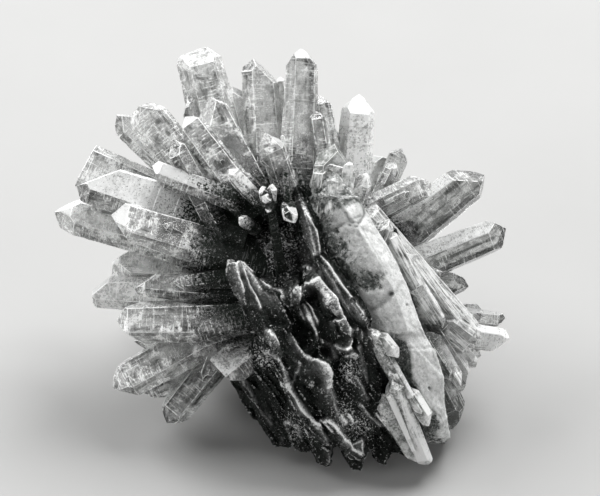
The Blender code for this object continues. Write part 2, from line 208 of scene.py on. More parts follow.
# The dark blades that lie along the heart's show side, with a point at each end.
BLADES = {
    # beside the arrow
    "ridge_outer": ((15, -8, 13), (20.5, -31, 6), 5.2, 0.7, 30),
    "ridge_middle": ((11, -15, 13), (18.5, -35.5, 4), 5.4, 0.7, 25),
    # the knobbly ridges in the middle
    "whale": ((2.5, -9.5, 11), (14, -35, 6), 9.6, 0.65, 22),
    "whale_rim": ((6.5, -14, 13), (13.5, -30, 9), 4.6, 0.8, 30),
    "crescent": ((4, 4.5, 11), (14.5, -12, 14), 4.6, 0.8, 30),
    "boss": ((9.5, -4, 12), (15.8, -20, 12.5), 5.4, 0.8, 20),
    "streak": ((4, -2, 11), (8, -15, 13.5), 3.8, 0.8, 30),
    # the spine between the recess and the trunk
    "spine_high": ((3.5, 22.5, 9), (8.5, 2, 13), 3.4, 0.8, 30),
    "spine_low": ((7, 7, 12), (18.5, -9, 14), 4.0, 0.8, 30),
    # the left fin and the flank under it
    "fin_high": ((3, -20, 12), (-11.4, 5.8, 14), 6.0, 0.55, 30),
    "fin_rider": ((6, -22, 12), (-6, 0.5, 13), 4.4, 0.7, 20),
    "fin_low": ((10.5, -35, 4), (-3.5, -8.5, 16), 5.4, 0.6, 30),
    "flank_inner": ((-6, -11, 9), (6, -36.5, 1), 6.6, 0.7, 25),
    "flank_outer": ((-9.5, -14, 4), (0.5, -36, -3), 6.2, 0.75, 15),
    "flank_ledge": ((-12, -15, -1), (-3.5, -31, -5), 5.6, 0.8, 30),
    # the fringe along the bottom
    "fringe_left": ((4, -27, 6), (9.6, -39.8, 1), 4.2, 0.8, 10),
    "fringe_bright": ((8, -26, 10), (17.5, -38, 4), 4.0, 0.7, 30),
    "fringe_middle": ((12, -30, 5), (16.5, -40.5, 1), 4.2, 0.8, 15),
    "fringe_right": ((16.5, -25, 6), (22.5, -39, 1), 4.8, 0.8, 20),
    "fringe_last": ((20, -28, 5), (26, -37.5, 1), 4.4, 0.8, 30),
}

# The ribbed plate behind the trunk, from its straight upper edge down.
RIBS = {
    "rib_edge": ((15.5, 18, 4), (43.5, -12.3, -5), 4.2, 0.8, 30),
    "rib_upper": ((24, 6, 1), (42.5, -14.5, -5), 6.4, 0.7, 20),
    "rib_middle": ((25, 2, 2), (41.5, -18.5, -5), 6.4, 0.7, 30),
    "rib_lower": ((26, -2, 3), (40.5, -22.5, -4), 6.4, 0.7, 15),
    "dark_end": ((26, -8, 1), (38, -32, -6), 8.0, 0.8, 10),
    "dark_end_low": ((24, -14, 3), (34.5, -35, -3), 6.4, 0.8, 20),
}

# The heart: broken lumps of chlorite-filled quartz, each with its middle and its half-lengths.
LUMPS = {
    NODE: ((2, 1, -3), (17, 19, 12)),
    "heart_foot": ((10, -12, -9), (22, 22, 20)),
    "heart_heel": ((-1, -12, -20), (13, 12, 13)),
    "heart_front": ((10, -16, 2), (15, 20, 11.5)),
    "heart_brow": ((8, -8, 6), (12, 13, 7)),
    "heart_shoulder": ((17, 2, -3), (13, 17, 13)),
    "heart_crown": ((-3, 11, -6), (12, 9, 8.5)),
}
SHOWN_LUMPS = ("heart_front", "heart_brow")  # these are under the blades
LUMP_FACES = 44
LUMP_DEPTH = (0.86, 1.0)  # of a broken face from the lump's middle, as a share of its radius
LUMP_BLOCK = 4  # the block that a lump is cut from, in its half-lengths

# The far side's crystals. Each set holds how many directions there are over the whole ball, of
# which the far side keeps its own, the place that they radiate from, their least and greatest
# length and width, and how far from the hub their points may reach across the show side.
FAR_SETS = {
    "far": (96, (2, -1, -1), (30.0, 49.0), (4.6, 9.0), 31.0),
    "far_short": (130, (2, -1, -1), (20.0, 29.0), (3.2, 5.2), 29.0),
    "foot": (90, (8, -12, -11), (23.0, 29.0), (3.6, 6.4), 20.0),
}
FAR_EDGE = -0.2  # a far-side crystal's direction has at most this share along w
LOWEST_SLOPE = -0.7  # no far-side crystal dives more steeply than this
FLOOR_CLEARANCE = 3.0  # of a far-side point
ROOT_DEPTH = 4.0  # of a far-side crystal's root from where its set radiates from
SPREAD_JITTER = 0.1
ANY_FLATNESS = (0.7, 0.95)  # of a crystal whose shape is left to chance
ANY_TURN = (0, 60)

# Riders: small crystals that grow at a slant from the side of a larger one.
RIDERS_EACH = (1, 3)
HOST_LENGTH = 14  # a crystal shorter or thinner than this has none
HOST_WIDTH = 3.5
RIDER_PLACES = (0.25, 0.6)  # of its root, as a share of the larger crystal's length
RIDER_DEPTH = 0.28  # of its root from the larger one's axis, as a share of its width
RIDER_WIDTHS = (0.16, 0.36)  # as a share of the larger one's width
RIDER_SLANTS = (0.12, 0.5)
RIDER_LENGTHS = (3.0, 7.5)
RIDER_REACH = 0.3  # the longest, as a share of the larger one's length

# --- how the crystals' surfaces are finished -----------------------------------------------------

EDGE_WIDTH = 0.12  # of the worn edge between two crystal faces
EDGE_SHARE = 0.035  # the widest it is, as a share of the crystal's width
RING_SPACING = (0.8, 3.0)  # between the growth rings along a crystal
RING_DEPTH = 0.07  # how far a ring stands in or out
LEDGE_HEIGHT = 0.12  # of the small step that some rings make
LEDGE_SHARE = 0.4  # of the rings
RINGED_FROM = 0.15  # the rings start at this share of a crystal's length
RINGED_TO = 0.55  # and end this many widths short of its point
RING_TOLERANCE = 1e-7  # how close to a ring's height, in metres, its vertices lie
PATTERN_SHIFT = 300  # how far apart the crystals' own patterns lie at most

# How milky a crystal is, from 0, clear, to 1, white. The others are USUAL_MILK.
USUAL_MILK = 0.25
MILK_JITTER = (-0.08, 0.12)
MILK = {
    "left_high_blunt": 0.5,
    "left_high_broad": 0.4,
    "left_high_rider": 0.5,
    "left_dusty": 0.66,
    "left_worn": 0.72,
    "left_low_broad": 0.48,
    "left_longest": 0.6,
    "left_front": 0.45,
    "low_left_broad": 0.45,
    "low_left_stub": 0.5,
    "left_middle": 0.5,
    "left_sliver": 0.4,
    "fan_left": 0.48,
    "fan_inner": 0.45,
    "fan_inner_broad": 0.45,
    "crown_left": 0.4,
    "bright_finger": 0.9,
    "right_bud": 0.5,
    "right_shelf": 0.45,
    "right_clear": 0.0,
    "right_long": 0.05,
    "right_low_main": 0.8,
    "right_low_drop": 0.6,
    "front_club": 0.45,
    "front_left_bud": 0.5,
    "front_seed": 0.8,
    "front_milky": 0.6,
    "front_milky_side": 0.6,
    "front_milky_step": 0.6,
}
RIB_MILK = 0.5

# How strong the painted top light is, a painted highlight that makes the faces that look up the
# show side white, where that isn't left to chance.
TOP_LIGHT_STRENGTHS = {
    "left_high_broad": 1.8,
    "left_high_rider": 1.8,
    "left_dusty": 0.1,
    "high_ledge": 1.5,
    "bud_left": 0.4,
    "fan_left": 0.15,
    "crown_left": 0.15,
    "crown_right": 1.0,
    "right_long": 0.9,
    "low_left_stub": 0.6,
    "bright_finger": 0.8,
    "right_low_main": 0.5,
}
TOP_LIT_SHARE = 0.35  # of the other crystals' upper faces
FAINT_TOP_LIGHT = (0.1, 0.4)  # how white the rest of them are
TOP_LIGHT_WAY = SHOW_AXES @ Vector((-0.15, 0.9, 0.4)).normalized()  # faces that look this way are white
TOP_LIGHT_FALLOFF = 1.5
TOP_LIGHT_LIMIT = 1.5
BARE_COAT = (0, 0.1)  # on any face

DUSK_MIDDLE = (0.0, 5.0, -2.0)  # the dark heart's middle, and how far its dust reaches each way
DUSK_REACH = (31.0, 29.0, 42.0)
DUSK_CORE = 0.45  # all dark within this share of the reach

CORE_SHARE = (0.32, 0.55)  # of a crystal's length that its dark root takes up
CORE_WIDTH = 0.66

# --- the heart's relief --------------------------------------------------------------------------

HEART_GRAIN = 0.5  # the voxels of the heart's lumps and of the blades
BLADE_GRAIN = 0.31
BLADE_WAY = Vector((0.5, -0.86, 0.05)).normalized()  # the way the blades run, in the show frame

# Patterns of relief: height, size, how far they are drawn out along the blades, and seed.
RAGGED = (1, 1.5, 3.2, 3)
RAGGED_SHARES = (0.3, 0.18)  # of it in the rough relief and in the calm one
ROUGH_FACETS = (0.5, 2.6, 2.2, 1)
ROUGH_CHIPS = (0.2, 1.1, 1.8, 2)
ROUGH_SINK = 0.1  # how far the rough relief is let in, and the calm one
CALM_CHIPS = (0.12, 1.2, 2.6, 4)
CALM_SINK = 0.25
CALM_SHARE = 0.8  # how much of the rough relief gives way to the calm one on the show side
HEART_FINE = (1, 0.75, 2.4, 9)
FINE_HEIGHTS = (0.06, 0.08)  # of the fine grain everywhere, and what the show side adds
SLIVERS = (0.5, 1.5, 1.2, 1)  # height, width, waviness and seed of the slivers in the calm relief
SLIVER_SIZES = (9.0, 5.0, 7.0)  # of the waves in them along, across and out of the blades
SLIVER_STEP = 3.5  # the length of a sliver, in its widths
# Where the surface counts as the show side: its facing, and w from where on and over what run.
FACING = (2, 0.2)
FRONT_FROM = -2
FRONT_RUN = 8

CREST_CLIMB = 2.6  # how slowly a crest climbs, in half-widths
CREST_DROP = 0.55
CREST_GAP = (1.4, 0.8, 0.5)  # the groove beyond it: its place and width in half-widths, and depth
FROST_CLIMB = 0.85
FROST_FACE = 0.75  # how white the climb is, as a share of the line along the crest
CREST_LINE = 0.32  # how wide that line is
CREST_WANDER = 0.3  # how far the ragged pattern moves a crest sideways
CREST_UNEVENNESS = (0.6, (1, 3.0, 1.0, 12))  # of the crests' widths: its share and its pattern
# How the worn, bright parts are told: share, rounds of smoothing, and the rise in mm that counts.
HEART_HEIGHTS = ((0.6, 40, 0.6), (0.3, 5, 0.15))

# Frosted crests on the show side of the heart: half-width, rise and whiteness, and then the line
# that each follows, as seen.
CRESTS = {
    "fin_edge": (0.35, 0.5, 1.0, ((-9.2, 3.7), (-7.7, -0.4), (-6.4, -2.6), (-5.5, -5.1))),
    "fin_left": (1.2, 0.4, 0.85, ((-11.0, 4.6), (-10.3, 1.8), (-9.2, -1.5))),
    "fin_right": (1.6, 0.3, 0.75, ((-9.5, 4.6), (-7.3, 2.2), (-5.3, -1.1))),
    "fin_tip": (0.5, 0.2, 0.9, ((-11.2, 4.8), (-9.9, 5.3), (-7.3, 3.3))),
    "ledge": (0.4, 0.4, 0.8, ((-5.1, 0.9), (-2.9, -0.7), (-0.9, -1.1), (-0.2, -2.9))),
    "ledge_face": (1.4, 0.1, 0.38, ((-4.6, -1.8), (-1.5, -3.3))),
    "ridge_start": (0.8, 0.6, 0.8, ((-3.3, -10.1), (-2.2, -11.7), (-1.3, -13.2))),
    "ridge_high": (0.5, 0.6, 0.55, ((-3.3, -14.7), (-1.1, -16.5), (0.0, -18.7), (0.7, -21.1))),
    "ridge_long": (
        0.55, 0.8, 1.0,
        ((0.7, -21.1), (1.5, -23.3), (3.1, -25.7), (5.1, -28.4), (7.3, -30.6)),
    ),
    "ridge_low": (0.7, 0.6, 0.5, ((7.3, -30.6), (8.8, -33.0), (10.1, -35.6), (9.5, -38.9))),
    "whale_top": (0.6, 0.8, 0.7, ((1.8, -11.4), (3.1, -14.3), (5.1, -15.8), (7.3, -16.5))),
    "whale_rim": (1.3, 0.8, 1.0, ((7.3, -16.5), (9.0, -17.6), (9.9, -19.6), (10.1, -22.2))),
    "whale_tail": (0.9, 0.6, 0.55, ((10.1, -22.2), (10.8, -25.3), (11.9, -28.8), (13.0, -30.6))),
    "whale_back": (0.5, 0.4, 0.35, ((3.3, -17.4), (2.6, -19.4), (1.3, -22.0))),
    "fringe_crest": (
        0.7, 0.6, 1.0,
        ((7.9, -29.9), (9.9, -29.5), (11.7, -31.2), (13.2, -33.4), (14.7, -35.6), (16.5, -36.7)),
    ),
    "fringe_streak": (0.3, 0.3, 0.9, ((9.2, -30.4), (10.8, -32.1))),
    "fringe_streak_upper": (0.35, 0.3, 0.9, ((12.3, -28.4), (13.6, -30.4))),
    "fringe_streak_right": (0.3, 0.3, 0.9, ((14.1, -28.6), (15.0, -30.1))),
    "fringe_end": (0.6, 0.3, 0.8, ((14.7, -35.6), (16.9, -34.1), (17.2, -37.0))),
    "crescent": (1.2, 0.9, 1.0, ((5.1, 0.2), (7.0, 1.3), (8.4, -0.2), (9.9, -1.8), (10.8, -3.3))),
    "crescent_inner": (0.7, 0.3, 0.8, ((7.9, -0.9), (9.2, -2.6), (9.7, -4.0))),
    "crescent_tail": (0.6, 0.6, 0.9, ((10.8, -3.3), (11.7, -5.7), (13.2, -7.5))),
    "crescent_back": (0.3, 0.3, 0.4, ((5.1, 0.2), (4.8, -1.3))),
    "knob": (1.1, 0.9, 0.85, ((3.1, -1.1), (3.3, -3.3))),
    "spine_edge": (
        0.35, 0.5, 0.9,
        ((4.4, 16.9), (5.7, 14.5), (7.0, 11.9), (7.5, 9.2), (7.7, 7.3)),
    ),
    "spine_face": (1.2, 0.4, 0.7, ((4.2, 18.0), (5.3, 13.9), (6.2, 9.9), (6.6, 6.8))),
    "spine_low": (
        0.35, 0.5, 0.95,
        ((7.9, 6.6), (9.2, 5.3), (10.6, 3.1), (11.9, 1.1), (13.2, -0.7), (14.7, -2.4)),
    ),
    "spine_low_face": (1.6, 0.3, 0.6, ((9.0, 3.3), (10.8, 0.7), (12.5, -2.9), (14.3, -5.1))),
    "spine_end": (1.4, 0.4, 0.8, ((15.6, -4.0), (17.4, -6.4))),
    "streak": (0.4, 0.5, 0.85, ((4.4, -5.1), (5.9, -8.1), (6.8, -11.0))),
    "streak_second": (0.3, 0.5, 0.9, ((5.5, -4.2), (6.4, -6.4), (7.3, -8.1))),
    "streak_third": (0.25, 0.3, 0.6, ((3.3, -5.9), (4.2, -7.5))),
    "boss_rim": (
        0.6, 0.7, 0.85,
        ((11.0, -7.9), (12.8, -7.7), (14.3, -9.7), (14.7, -11.9), (14.3, -14.3)),
    ),
    "boss_foot": (0.5, 0.4, 0.6, ((11.2, -13.4), (13.0, -14.1), (14.7, -14.3))),
    "boss_lower": (0.4, 0.4, 0.6, ((13.6, -15.6), (15.2, -15.4))),
    "small_ridge": (0.5, 0.5, 0.5, ((8.4, -12.1), (9.9, -13.4), (10.8, -16.1))),
    "flank_line": (0.28, 0.4, 0.6, ((-9.0, -21.1), (-6.6, -25.3), (-5.1, -27.9), (-3.5, -29.5))),
    "flank_glint": (0.45, 0.2, 1.0, ((-3.5, -29.0), (-3.1, -30.6))),
    "recess_line": (0.3, 0.4, 0.5, ((-3.3, 14.1), (-2.6, 11.7), (-2.2, 9.9))),
    "recess_streak": (0.3, 0.3, 0.35, ((-4.4, 8.4), (-2.9, 6.8), (-1.1, 5.5))),
    "recess_glint": (0.3, 0.3, 0.5, ((0.9, 5.7), (1.8, 3.7))),
    "bright_speck": (0.55, 0.3, 1.0, ((4.2, 4.4), (5.3, 4.2))),
    "ridge_stub": (0.5, 0.5, 0.5, ((16.5, -9.9), (16.9, -11.4))),
    "deep_ridge": (0.5, 0.5, 0.35, ((16.3, -13.2), (16.9, -17.6), (18.0, -20.9))),
    "deep_ridge_low": (0.5, 0.4, 0.5, ((15.4, -20.5), (16.9, -22.7), (18.0, -24.9))),
    "druse_a": (0.6, 0.2, 0.9, ((0.9, -35.9), (2.4, -36.5), (3.7, -37.4))),
    "druse_b": (0.35, 0.2, 0.9, ((-0.9, -33.4), (-0.4, -34.1))),
    "druse_c": (0.35, 0.2, 0.8, ((0.0, -30.4), (0.9, -30.4))),
    "druse_d": (0.35, 0.2, 0.7, ((2.9, -31.9), (3.5, -33.4))),
    "arrow_shadow_edge": (0.28, 0.3, 0.9, ((20.0, -28.2), (22.2, -30.6), (24.2, -33.0))),
    "lower_edge": (0.3, 0.3, 0.7, ((16.7, -26.4), (19.1, -29.3), (20.9, -30.8))),
    "long_ridge": (0.7, 0.8, 0.9, ((18.9, -10.1), (20.5, -13.9), (21.8, -16.7), (22.7, -19.6))),
    "long_ridge_low": (
        0.6, 0.6, 0.85,
        ((22.2, -17.2), (24.4, -19.6), (26.2, -22.2), (28.2, -24.6)),
    ),
}
# Dark hollows there: the middle, as seen, and then the radius and the depth.
HOLLOWS = (
    ((6.4, -2.4), 1.7, 1.6),
    ((3.1, -5.0), 2.2, 0.8),
    ((10.0, -8.2), 2.0, 0.8),
    ((5.2, -10.6), 2.6, 1.0),
    ((-2.0, -8.6), 2.4, 0.8),
    ((0.9, -14.5), 3.4, 0.7),
    ((8.6, -14.2), 2.6, 0.9),
    ((18.6, -17.4), 2.6, 1.2),
    ((2.6, 5.0), 4.0, 1.2),
    ((-2.6, 6.0), 4.4, 1.0),
)

# Where tiny crystals glitter, with painted white specks: the middle, as seen, and the radius.
DRUSE_GLITTER = (
    ((1.0, -33.0), 5.0),
    ((13.0, -28.5), 3.5),
    ((16.5, -31.0), 4.0),
    ((-4.0, -16.0), 3.5),
    ((-1.0, 8.0), 6.0),
    ((14.5, -19.0), 3.5),
)
DRUSE_GLITTER_STRENGTH = 0.14

# Places there whose surface is smooth: the middle, as seen, and the radius.
SMOOTH_SPOTS = (
    ((-8.6, 1.2), 4.6),
    ((-5.6, -3.6), 3.6),
    ((7.0, -19.0), 3.6),
    ((9.4, -1.8), 3.0),
    ((6.0, 13.0), 3.0),
    ((7.0, 8.0), 2.6),
    ((11.0, 1.6), 3.0),
    ((2.8, -27.6), 2.6),
)
SMOOTH_SHARE = 0.75

# --- the trunk, the ribs, the arrow and the small crystals ---------------------------------------

# The trunk's seams, cracks and steps: half-width, rise and darkness, and the line as seen.
SEAMS = {
    "cap_seam": (
        0.36, -0.6, 1.0,
        ((5.8, 15.2), (7.3, 16.5), (9.5, 17.8), (11.4, 19.1), (13.2, 19.8)),
    ),
    "second_seam": (
        0.3, -0.4, 0.8,
        ((8.1, 10.8), (10.6, 11.9), (12.5, 13.2), (14.5, 14.5), (16.5, 15.2)),
    ),
    "white_notch": (0.3, 0.2, 0.0, ((9.9, 17.2), (11.2, 15.2), (13.2, 13.6), (14.3, 14.3))),
    "long_crack": (0.18, -0.2, 0.3, ((16.1, 13.9), (19.1, 8.6), (21.8, 3.7))),
    "cross_step": (0.3, -0.25, 0.3, ((21.6, -10.8), (24.9, -11.0), (27.5, -10.8), (29.7, -10.1))),
    "cross_step_low": (0.25, -0.2, 0.3, ((27.7, -14.5), (29.7, -14.1), (31.9, -13.6))),
    "block_side": (0.3, -0.3, 0.4, ((27.5, -14.3), (27.5, -20.5))),
    "lens_rim": (
        0.3, -0.5, 0.9,
        ((13.4, 18.2), (15.2, 19.2), (17.0, 18.0), (17.5, 15.6), (16.4, 13.6), (14.6, 14.0),
         (13.5, 16.0)),
    ),
    "low_seam": (
        0.3, -0.3, 0.5,
        ((24.9, -19.1), (26.4, -21.3), (29.3, -24.4), (31.9, -27.1), (34.1, -28.8)),
    ),
    "waist": (
        0.5, -0.4, 0.35,
        ((17.6, -7.3), (19.1, -5.5), (21.8, -4.0), (24.9, -0.7), (25.7, 0.7)),
    ),
}
# Its shape: v, and then its left side, ridge and right side, as seen, and the w of each.
TRUNK_STATIONS = (
    (26.0, (7.6, 9.8, 12.4), (7.0, 8.8, 7.6)),
    (23.0, (5.8, 9.6, 13.4), (9.0, 11.8, 10.0)),
    (19.6, (5.0, 9.8, 15.0), (10.4, 13.8, 11.6)),
    (19.3, (5.2, 11.4, 15.8), (10.9, 14.3, 11.9)),
    (16.5, (5.6, 13.4, 17.4), (10.6, 14.8, 12.2)),
    (11.0, (6.8, 17.0, 20.8), (10.6, 15.6, 12.4)),
    (5.1, (8.8, 20.8, 24.4), (10.8, 16.0, 12.6)),
    (-1.1, (12.6, 23.8, 27.0), (11.2, 15.8, 12.6)),
    (-7.7, (16.6, 26.2, 29.2), (11.4, 15.0, 12.2)),
    (-10.6, (18.8, 27.0, 30.4), (11.4, 14.4, 11.8)),
    (-11.0, (19.2, 27.0, 30.6), (10.9, 13.7, 11.2)),
    (-13.9, (21.2, 27.5, 32.3), (11.4, 13.0, 10.8)),
    (-14.3, (21.4, 27.7, 32.7), (11.7, 13.4, 11.0)),
    (-20.5, (24.1, 28.4, 34.9), (9.6, 11.6, 9.2)),
    (-25.7, (27.6, 31.2, 34.9), (7.6, 9.4, 7.2)),
    (-29.7, (30.0, 33.2, 35.6), (5.8, 7.4, 5.6)),
    (-33.6, (31.0, 33.7, 36.2), (3.4, 4.6, 3.2)),
)
TRUNK_BULGE = 0.54  # how much of the climb to the ridge is made half-way
TRUNK_DEPTH = 8.0
TRUNK_GRAIN = 0.28  # between the rings of its loft
TRUNK_PARTS = 14  # across each of its sides
TRUNK_FACETS = (0.16, 4.6, 2.0, 5)  # patterns of its relief
TRUNK_WAVES = (0.16, 2.4, 2.6, 6)
TRUNK_FINE = (0.1, 0.7, 1.6, 7)
TRUNK_SWELL = 0.15  # how far all of it is let out
TRUNK_HEIGHTS = ((1, 12, 0.2),)
TOP_GRAIN = (1, 0.9, 1.2, 15)
TOP_ROUGHNESS = (0.15, 17, 3)  # its height, from which v, and over how many mm
SEAM_WANDER = 0.6  # how far the relief moves a seam
SEAM_FALL = 1.2  # how soon a seam's rise fades
SEAM_SHARES = (0.5, 0.85)  # of the SEAMS' rise and darkness
PIT_DEPTH = 0.8
SHADE_FACETS = (0.35, 0.9, 1.5, 8)
SHADE_SINK = 0.35
SHADE_FALL = 1.5
SHADE_WANDER = 1.1  # how far these patterns make the edges of the SHADES uneven
SHADE_WAVES = ((1, 1.6, 1.0, 13), (1, 1.6, 1.0, 14))
# How dark it is made to the left of its ridge, at heights v from the bottom up, and how soon.
LEFT_DARK_HEIGHTS = (-33, -28, -20, -13, -10, -2, 2, 14, 19, 30)
LEFT_DARK_STRENGTHS = (1.0, 0.5, 0.95, 0.95, 0.4, 0.6, 1.0, 0.95, 0.7, 0.7)
LEFT_DARK_SPREADS = (2.0, 1.5, 1.2, 1.2, 6.0, 8.5, 9.0, 7.0, 5.0, 5.0)
LEFT_DARK_START = 0.5  # how far to the right of its ridge it starts
HIDDEN_SHADE = 0.6  # painted shade on the sides that look away
TOP_SHADE = (0.8, 14.5, 3)  # how dark its top is made by painted shade, from which height, and over how many mm
# Its murky places: the middle, as seen, the half-lengths, the turn in degrees and the darkness.
SHADES = (
    ((10.6, 6.1), (2.8, 6.5), -20, 1.0),
    ((13.6, 0.0), (3.0, 3.8), -30, 0.9),
    ((18.7, 0.7), (3.4, 2.4), 15, 1.0),
    ((9.9, 9.2), (1.5, 2.2), 0, 0.75),
    ((13.2, 8.8), (3.1, 4.8), -30, 0.45),
    ((22.0, -8.8), (3.1, 1.8), 20, 0.45),
    ((26.0, -16.1), (1.5, 4.8), 0, 0.7),
    ((27.9, -22.7), (1.8, 3.1), -35, 0.6),
    ((20.9, -3.3), (4.4, 2.0), 30, 0.4),
    ((32.8, -30.6), (2.0, 2.6), 0, 0.9),
    ((7.7, 13.9), (2.0, 3.5), 0, 0.6),
)
# Its pits: the middle, as seen, and then the radius and the darkness.
PITS = (
    ((11.4, 11.7), 0.40, 1.0),
    ((14.3, 13.2), 0.26, 0.8),
    ((15.8, 12.8), 0.26, 0.6),
    ((23.3, -2.0), 0.53, 1.0),
    ((31.7, -22.7), 0.33, 0.7),
    ((26.8, -4.4), 0.26, 0.5),
)
LENS_MIDDLE = (15.1, 16.4)  # of the clear, bright lens under its top, as seen
LENS_RADIUS = 1.8
LENS_CLEARNESS = 0.85

# The fan of thin ribs beside the trunk, from its upper rib to its lowest.
FAN_COUNT = 12
FAN_ROOTS = (Vector((18.0, 13.0, 4.6)), Vector((29.0, -16.0, 5.0)))
FAN_POINTS = (Vector((42.9, -11.9, -3.6)), Vector((36.6, -28.0, -2.6)))
FAN_WIDTHS = (1.5, 2.6)
FAN_FLATNESS = (0.6, 0.9)
FAN_MILK = (0.3, 1.0)
FAN_JITTER = 0.3  # in the spacing of the ribs
FAN_SHORTER = (0.14, 0.25)  # the most that is missing at a rib's point and at its root
# How pale the ribs are: least beside the trunk's right edge, which is given as seen from the top
# down, and less again in dark pockets, each with its middle, as seen, and its radius.
TRUNK_EDGE = (
    (15.6, 17.6), (20.9, 9.9), (25.3, 1.1), (28.6, -7.7), (34.1, -16.9), (34.3, -25.3),
    (34.8, -29.7),
)
EDGE_PALENESS = 0.4
PALE_RUN = (0.5, 3)  # how far before the edge it starts to rise, and over what run
RIB_POCKETS = (((33.4, -10.6), 2.6), ((35.6, -19.0), 1.4), ((37.5, -28.0), 4.6))

# Pale crystals between the trunk and the ribs and at the ribs' end, each with its milkiness.
LOBES = {
    "lobe_bud": (0.8, ((19.0, 7.0, 7.0), (22.3, 14.4, 9.6), 4.0, 0.9, 10)),
    "lobe_top": (0.5, ((21.5, 11.5, 6.5), (29.5, -3.0, 6.4), 4.2, 0.8, 30)),
    "lobe_inner": (0.6, ((23.5, 7.5, 6.0), (34.5, -9.5, 4.4), 3.4, 0.8, 0)),
    "lobe_outer": (0.9, ((25.5, 7.5, 4.6), (38.5, -9.0, 1.0), 3.0, 0.8, 30)),
    "lobe_low": (0.9, ((30.5, -10.0, 4.6), (38.4, -22.6, 2.0), 4.6, 0.8, 30)),
    "lobe_low_inner": (0.7, ((29.8, -11.0, 6.0), (36.2, -21.0, 4.6), 2.8, 0.8, 10)),
    "white_end": (1.0, ((34.5, -6.5, 1.0), (42.6, -12.6, 0.4), 4.0, 0.9, 30)),
    "white_end_low": (1.0, ((34.0, -8.5, 1.0), (41.2, -15.0, 0.2), 3.6, 0.9, 0)),
}

# The arrow, the pale ridge beside it and the crystals at the trunk's top (cap), each with its
# milkiness.
ARROW_LOBES = {
    "arrow_right": (0.75, ((22.8, -20.0, 12.2), (31.2, -39.6, 3.0), 3.7, 0.8, 30)),
    "arrow_left": (0.35, ((21.0, -23.6, 10.2), (29.9, -39.2, 2.2), 4.4, 0.7, 22)),
    "arrow_rim": (0.9, ((20.6, -27.6, 9.2), (29.4, -38.8, 2.4), 1.2, 0.8, 30)),
    "arrow_line": (1.0, ((22.4, -23.0, 12.4), (28.2, -36.4, 6.4), 0.8, 0.8, 30)),
    "ridge_upper": (0.8, ((18.6, -9.2, 13.6), (27.6, -24.4, 11.6), 1.7, 0.8, 30)),
    "ridge_inner": (0.3, ((18.4, -9.6, 12.8), (25.6, -23.0, 11.0), 2.4, 0.6, 10)),
    "ridge_lower": (0.9, ((22.6, -17.6, 12.6), (29.6, -27.8, 9.8), 1.9, 0.8, 30)),
    "ridge_end": (0.65, ((25.8, -21.4, 10.6), (31.6, -30.2, 8.4), 3.4, 0.7, 24)),
    "ridge_bud": (0.6, ((19.8, -9.8, 13.0), (24.4, -15.4, 14.0), 2.9, 0.7, 30)),
    "cap_face": (-0.1, ((9.8, 12.0, 8.6), (11.0, 30.6, 7.6), 7.6, 0.7, 16)),
    "cap_left": (0.0, ((6.8, 13.0, 9.6), (8.8, 26.0, 9.4), 4.6, 0.7, 34)),
    "cap_prism": (0.35, ((12.6, 14.0, 10.0), (13.6, 26.8, 9.6), 2.8, 0.8, 0)),
    "cap_front": (0.1, ((10.0, 14.0, 12.4), (11.2, 24.2, 12.0), 3.0, 0.8, 28)),
}

# Small crystals between the large ones, each with its milkiness: a ledge, a bud and a step on the
# left side, and then two groups on thin stalks in front of the dark recess.
EXTRAS = {
    "high_ledge": (0.6, ((-7.5, 17.2, 8.5), (-29.0, 25.4, 8.2), 3.8, 0.8, 22)),
    "bud_left": (0.75, ((-4.6, 17.4, 12.6), (-11.7, 25.2, 13.6), 2.9, 0.8, 20)),
    "middle_step": (0.5, ((-10, 2.2, 7.0), (-24.2, 0.3, 6.0), 3.4, 0.85, 12)),
    "knob_stalk": (1.0, ((-0.6, 2.0, 7.0), (-3.4, 19.5, 14.6), 1.3, 0.9, 0)),
    "knob_left": (1.0, ((-3.5, 16.4, 13.4), (-4.7, 21.4, 15.6), 2.0, 0.8, 10)),
    "knob_right": (0.9, ((-3.2, 15.6, 13.2), (-2.5, 21.9, 15.4), 2.2, 0.8, 30)),
    "knob_front": (1.0, ((-3.1, 17.2, 13.0), (-4.2, 19.4, 16.6), 1.9, 0.9, 0)),
    "knob_low": (0.8, ((-2.6, 18.6, 13.6), (-3.9, 15.6, 15.4), 1.4, 0.9, 20)),
    "lump_stalk": (1.0, ((0.9, 14.5, 14.6), (-0.5, 32.5, 11.4), 1.0, 0.9, 0)),
    "lump_main": (0.9, ((0.2, 18.4, 13.4), (1.6, 13.6, 17.2), 3.0, 0.9, 20)),
    "lump_side": (1.0, ((1.5, 18.2, 13.2), (0.2, 14.6, 16.6), 2.2, 0.8, 5)),
}

# Chlorite flecks: dark platelets inside the crystals, close together at their roots.
FLECKS_EACH = 26  # in a crystal of the width FLECKED_WIDTH
FLECKED_WIDTH = 6
FLECK_RANGE = (0.2, 0.5, 1.7)  # along a crystal: from where, over what share, and how crowded
FLECK_REACH = 0.34  # from its axis, as a share of its width
FLECK_SIZES = (0.08, 0.3)
FLECK_WIDTHS = (0.5, 1)  # and its width and its thickness, as shares of its size
FLECK_THICKNESS = 0.3
OCTAHEDRON = np.array(((1, 0, 0), (-1, 0, 0), (0, 1, 0), (0, -1, 0), (0, 0, 1), (0, 0, -1)), float)
OCTAHEDRON_FACES = np.array(
    ((0, 2, 4), (2, 1, 4), (1, 3, 4), (3, 0, 4), (2, 0, 5), (1, 2, 5), (3, 1, 5), (0, 3, 5))
)


# --- places and meshes ---------------------------------------------------------------------------


def to_world(place):
    """A show-frame place in millimetres as a world place in metres."""
    return (SHOW_AXES @ Vector(place) + HUB) * MM


def to_show(places):
    """World places in metres, one to a row, as show-frame places in millimetres."""
    return (places / MM - np.array(HUB)) @ np.array(SHOW_AXES)


def as_seen(places):
    """Where the eye sees show-frame places against the plane through the hub."""
    nearness = EYE_DISTANCE / (EYE_DISTANCE - places[:, 2])
    middle = np.array(FRAME_CENTRE)
    return middle + (places[:, :2] - middle) * nearness[:, None]


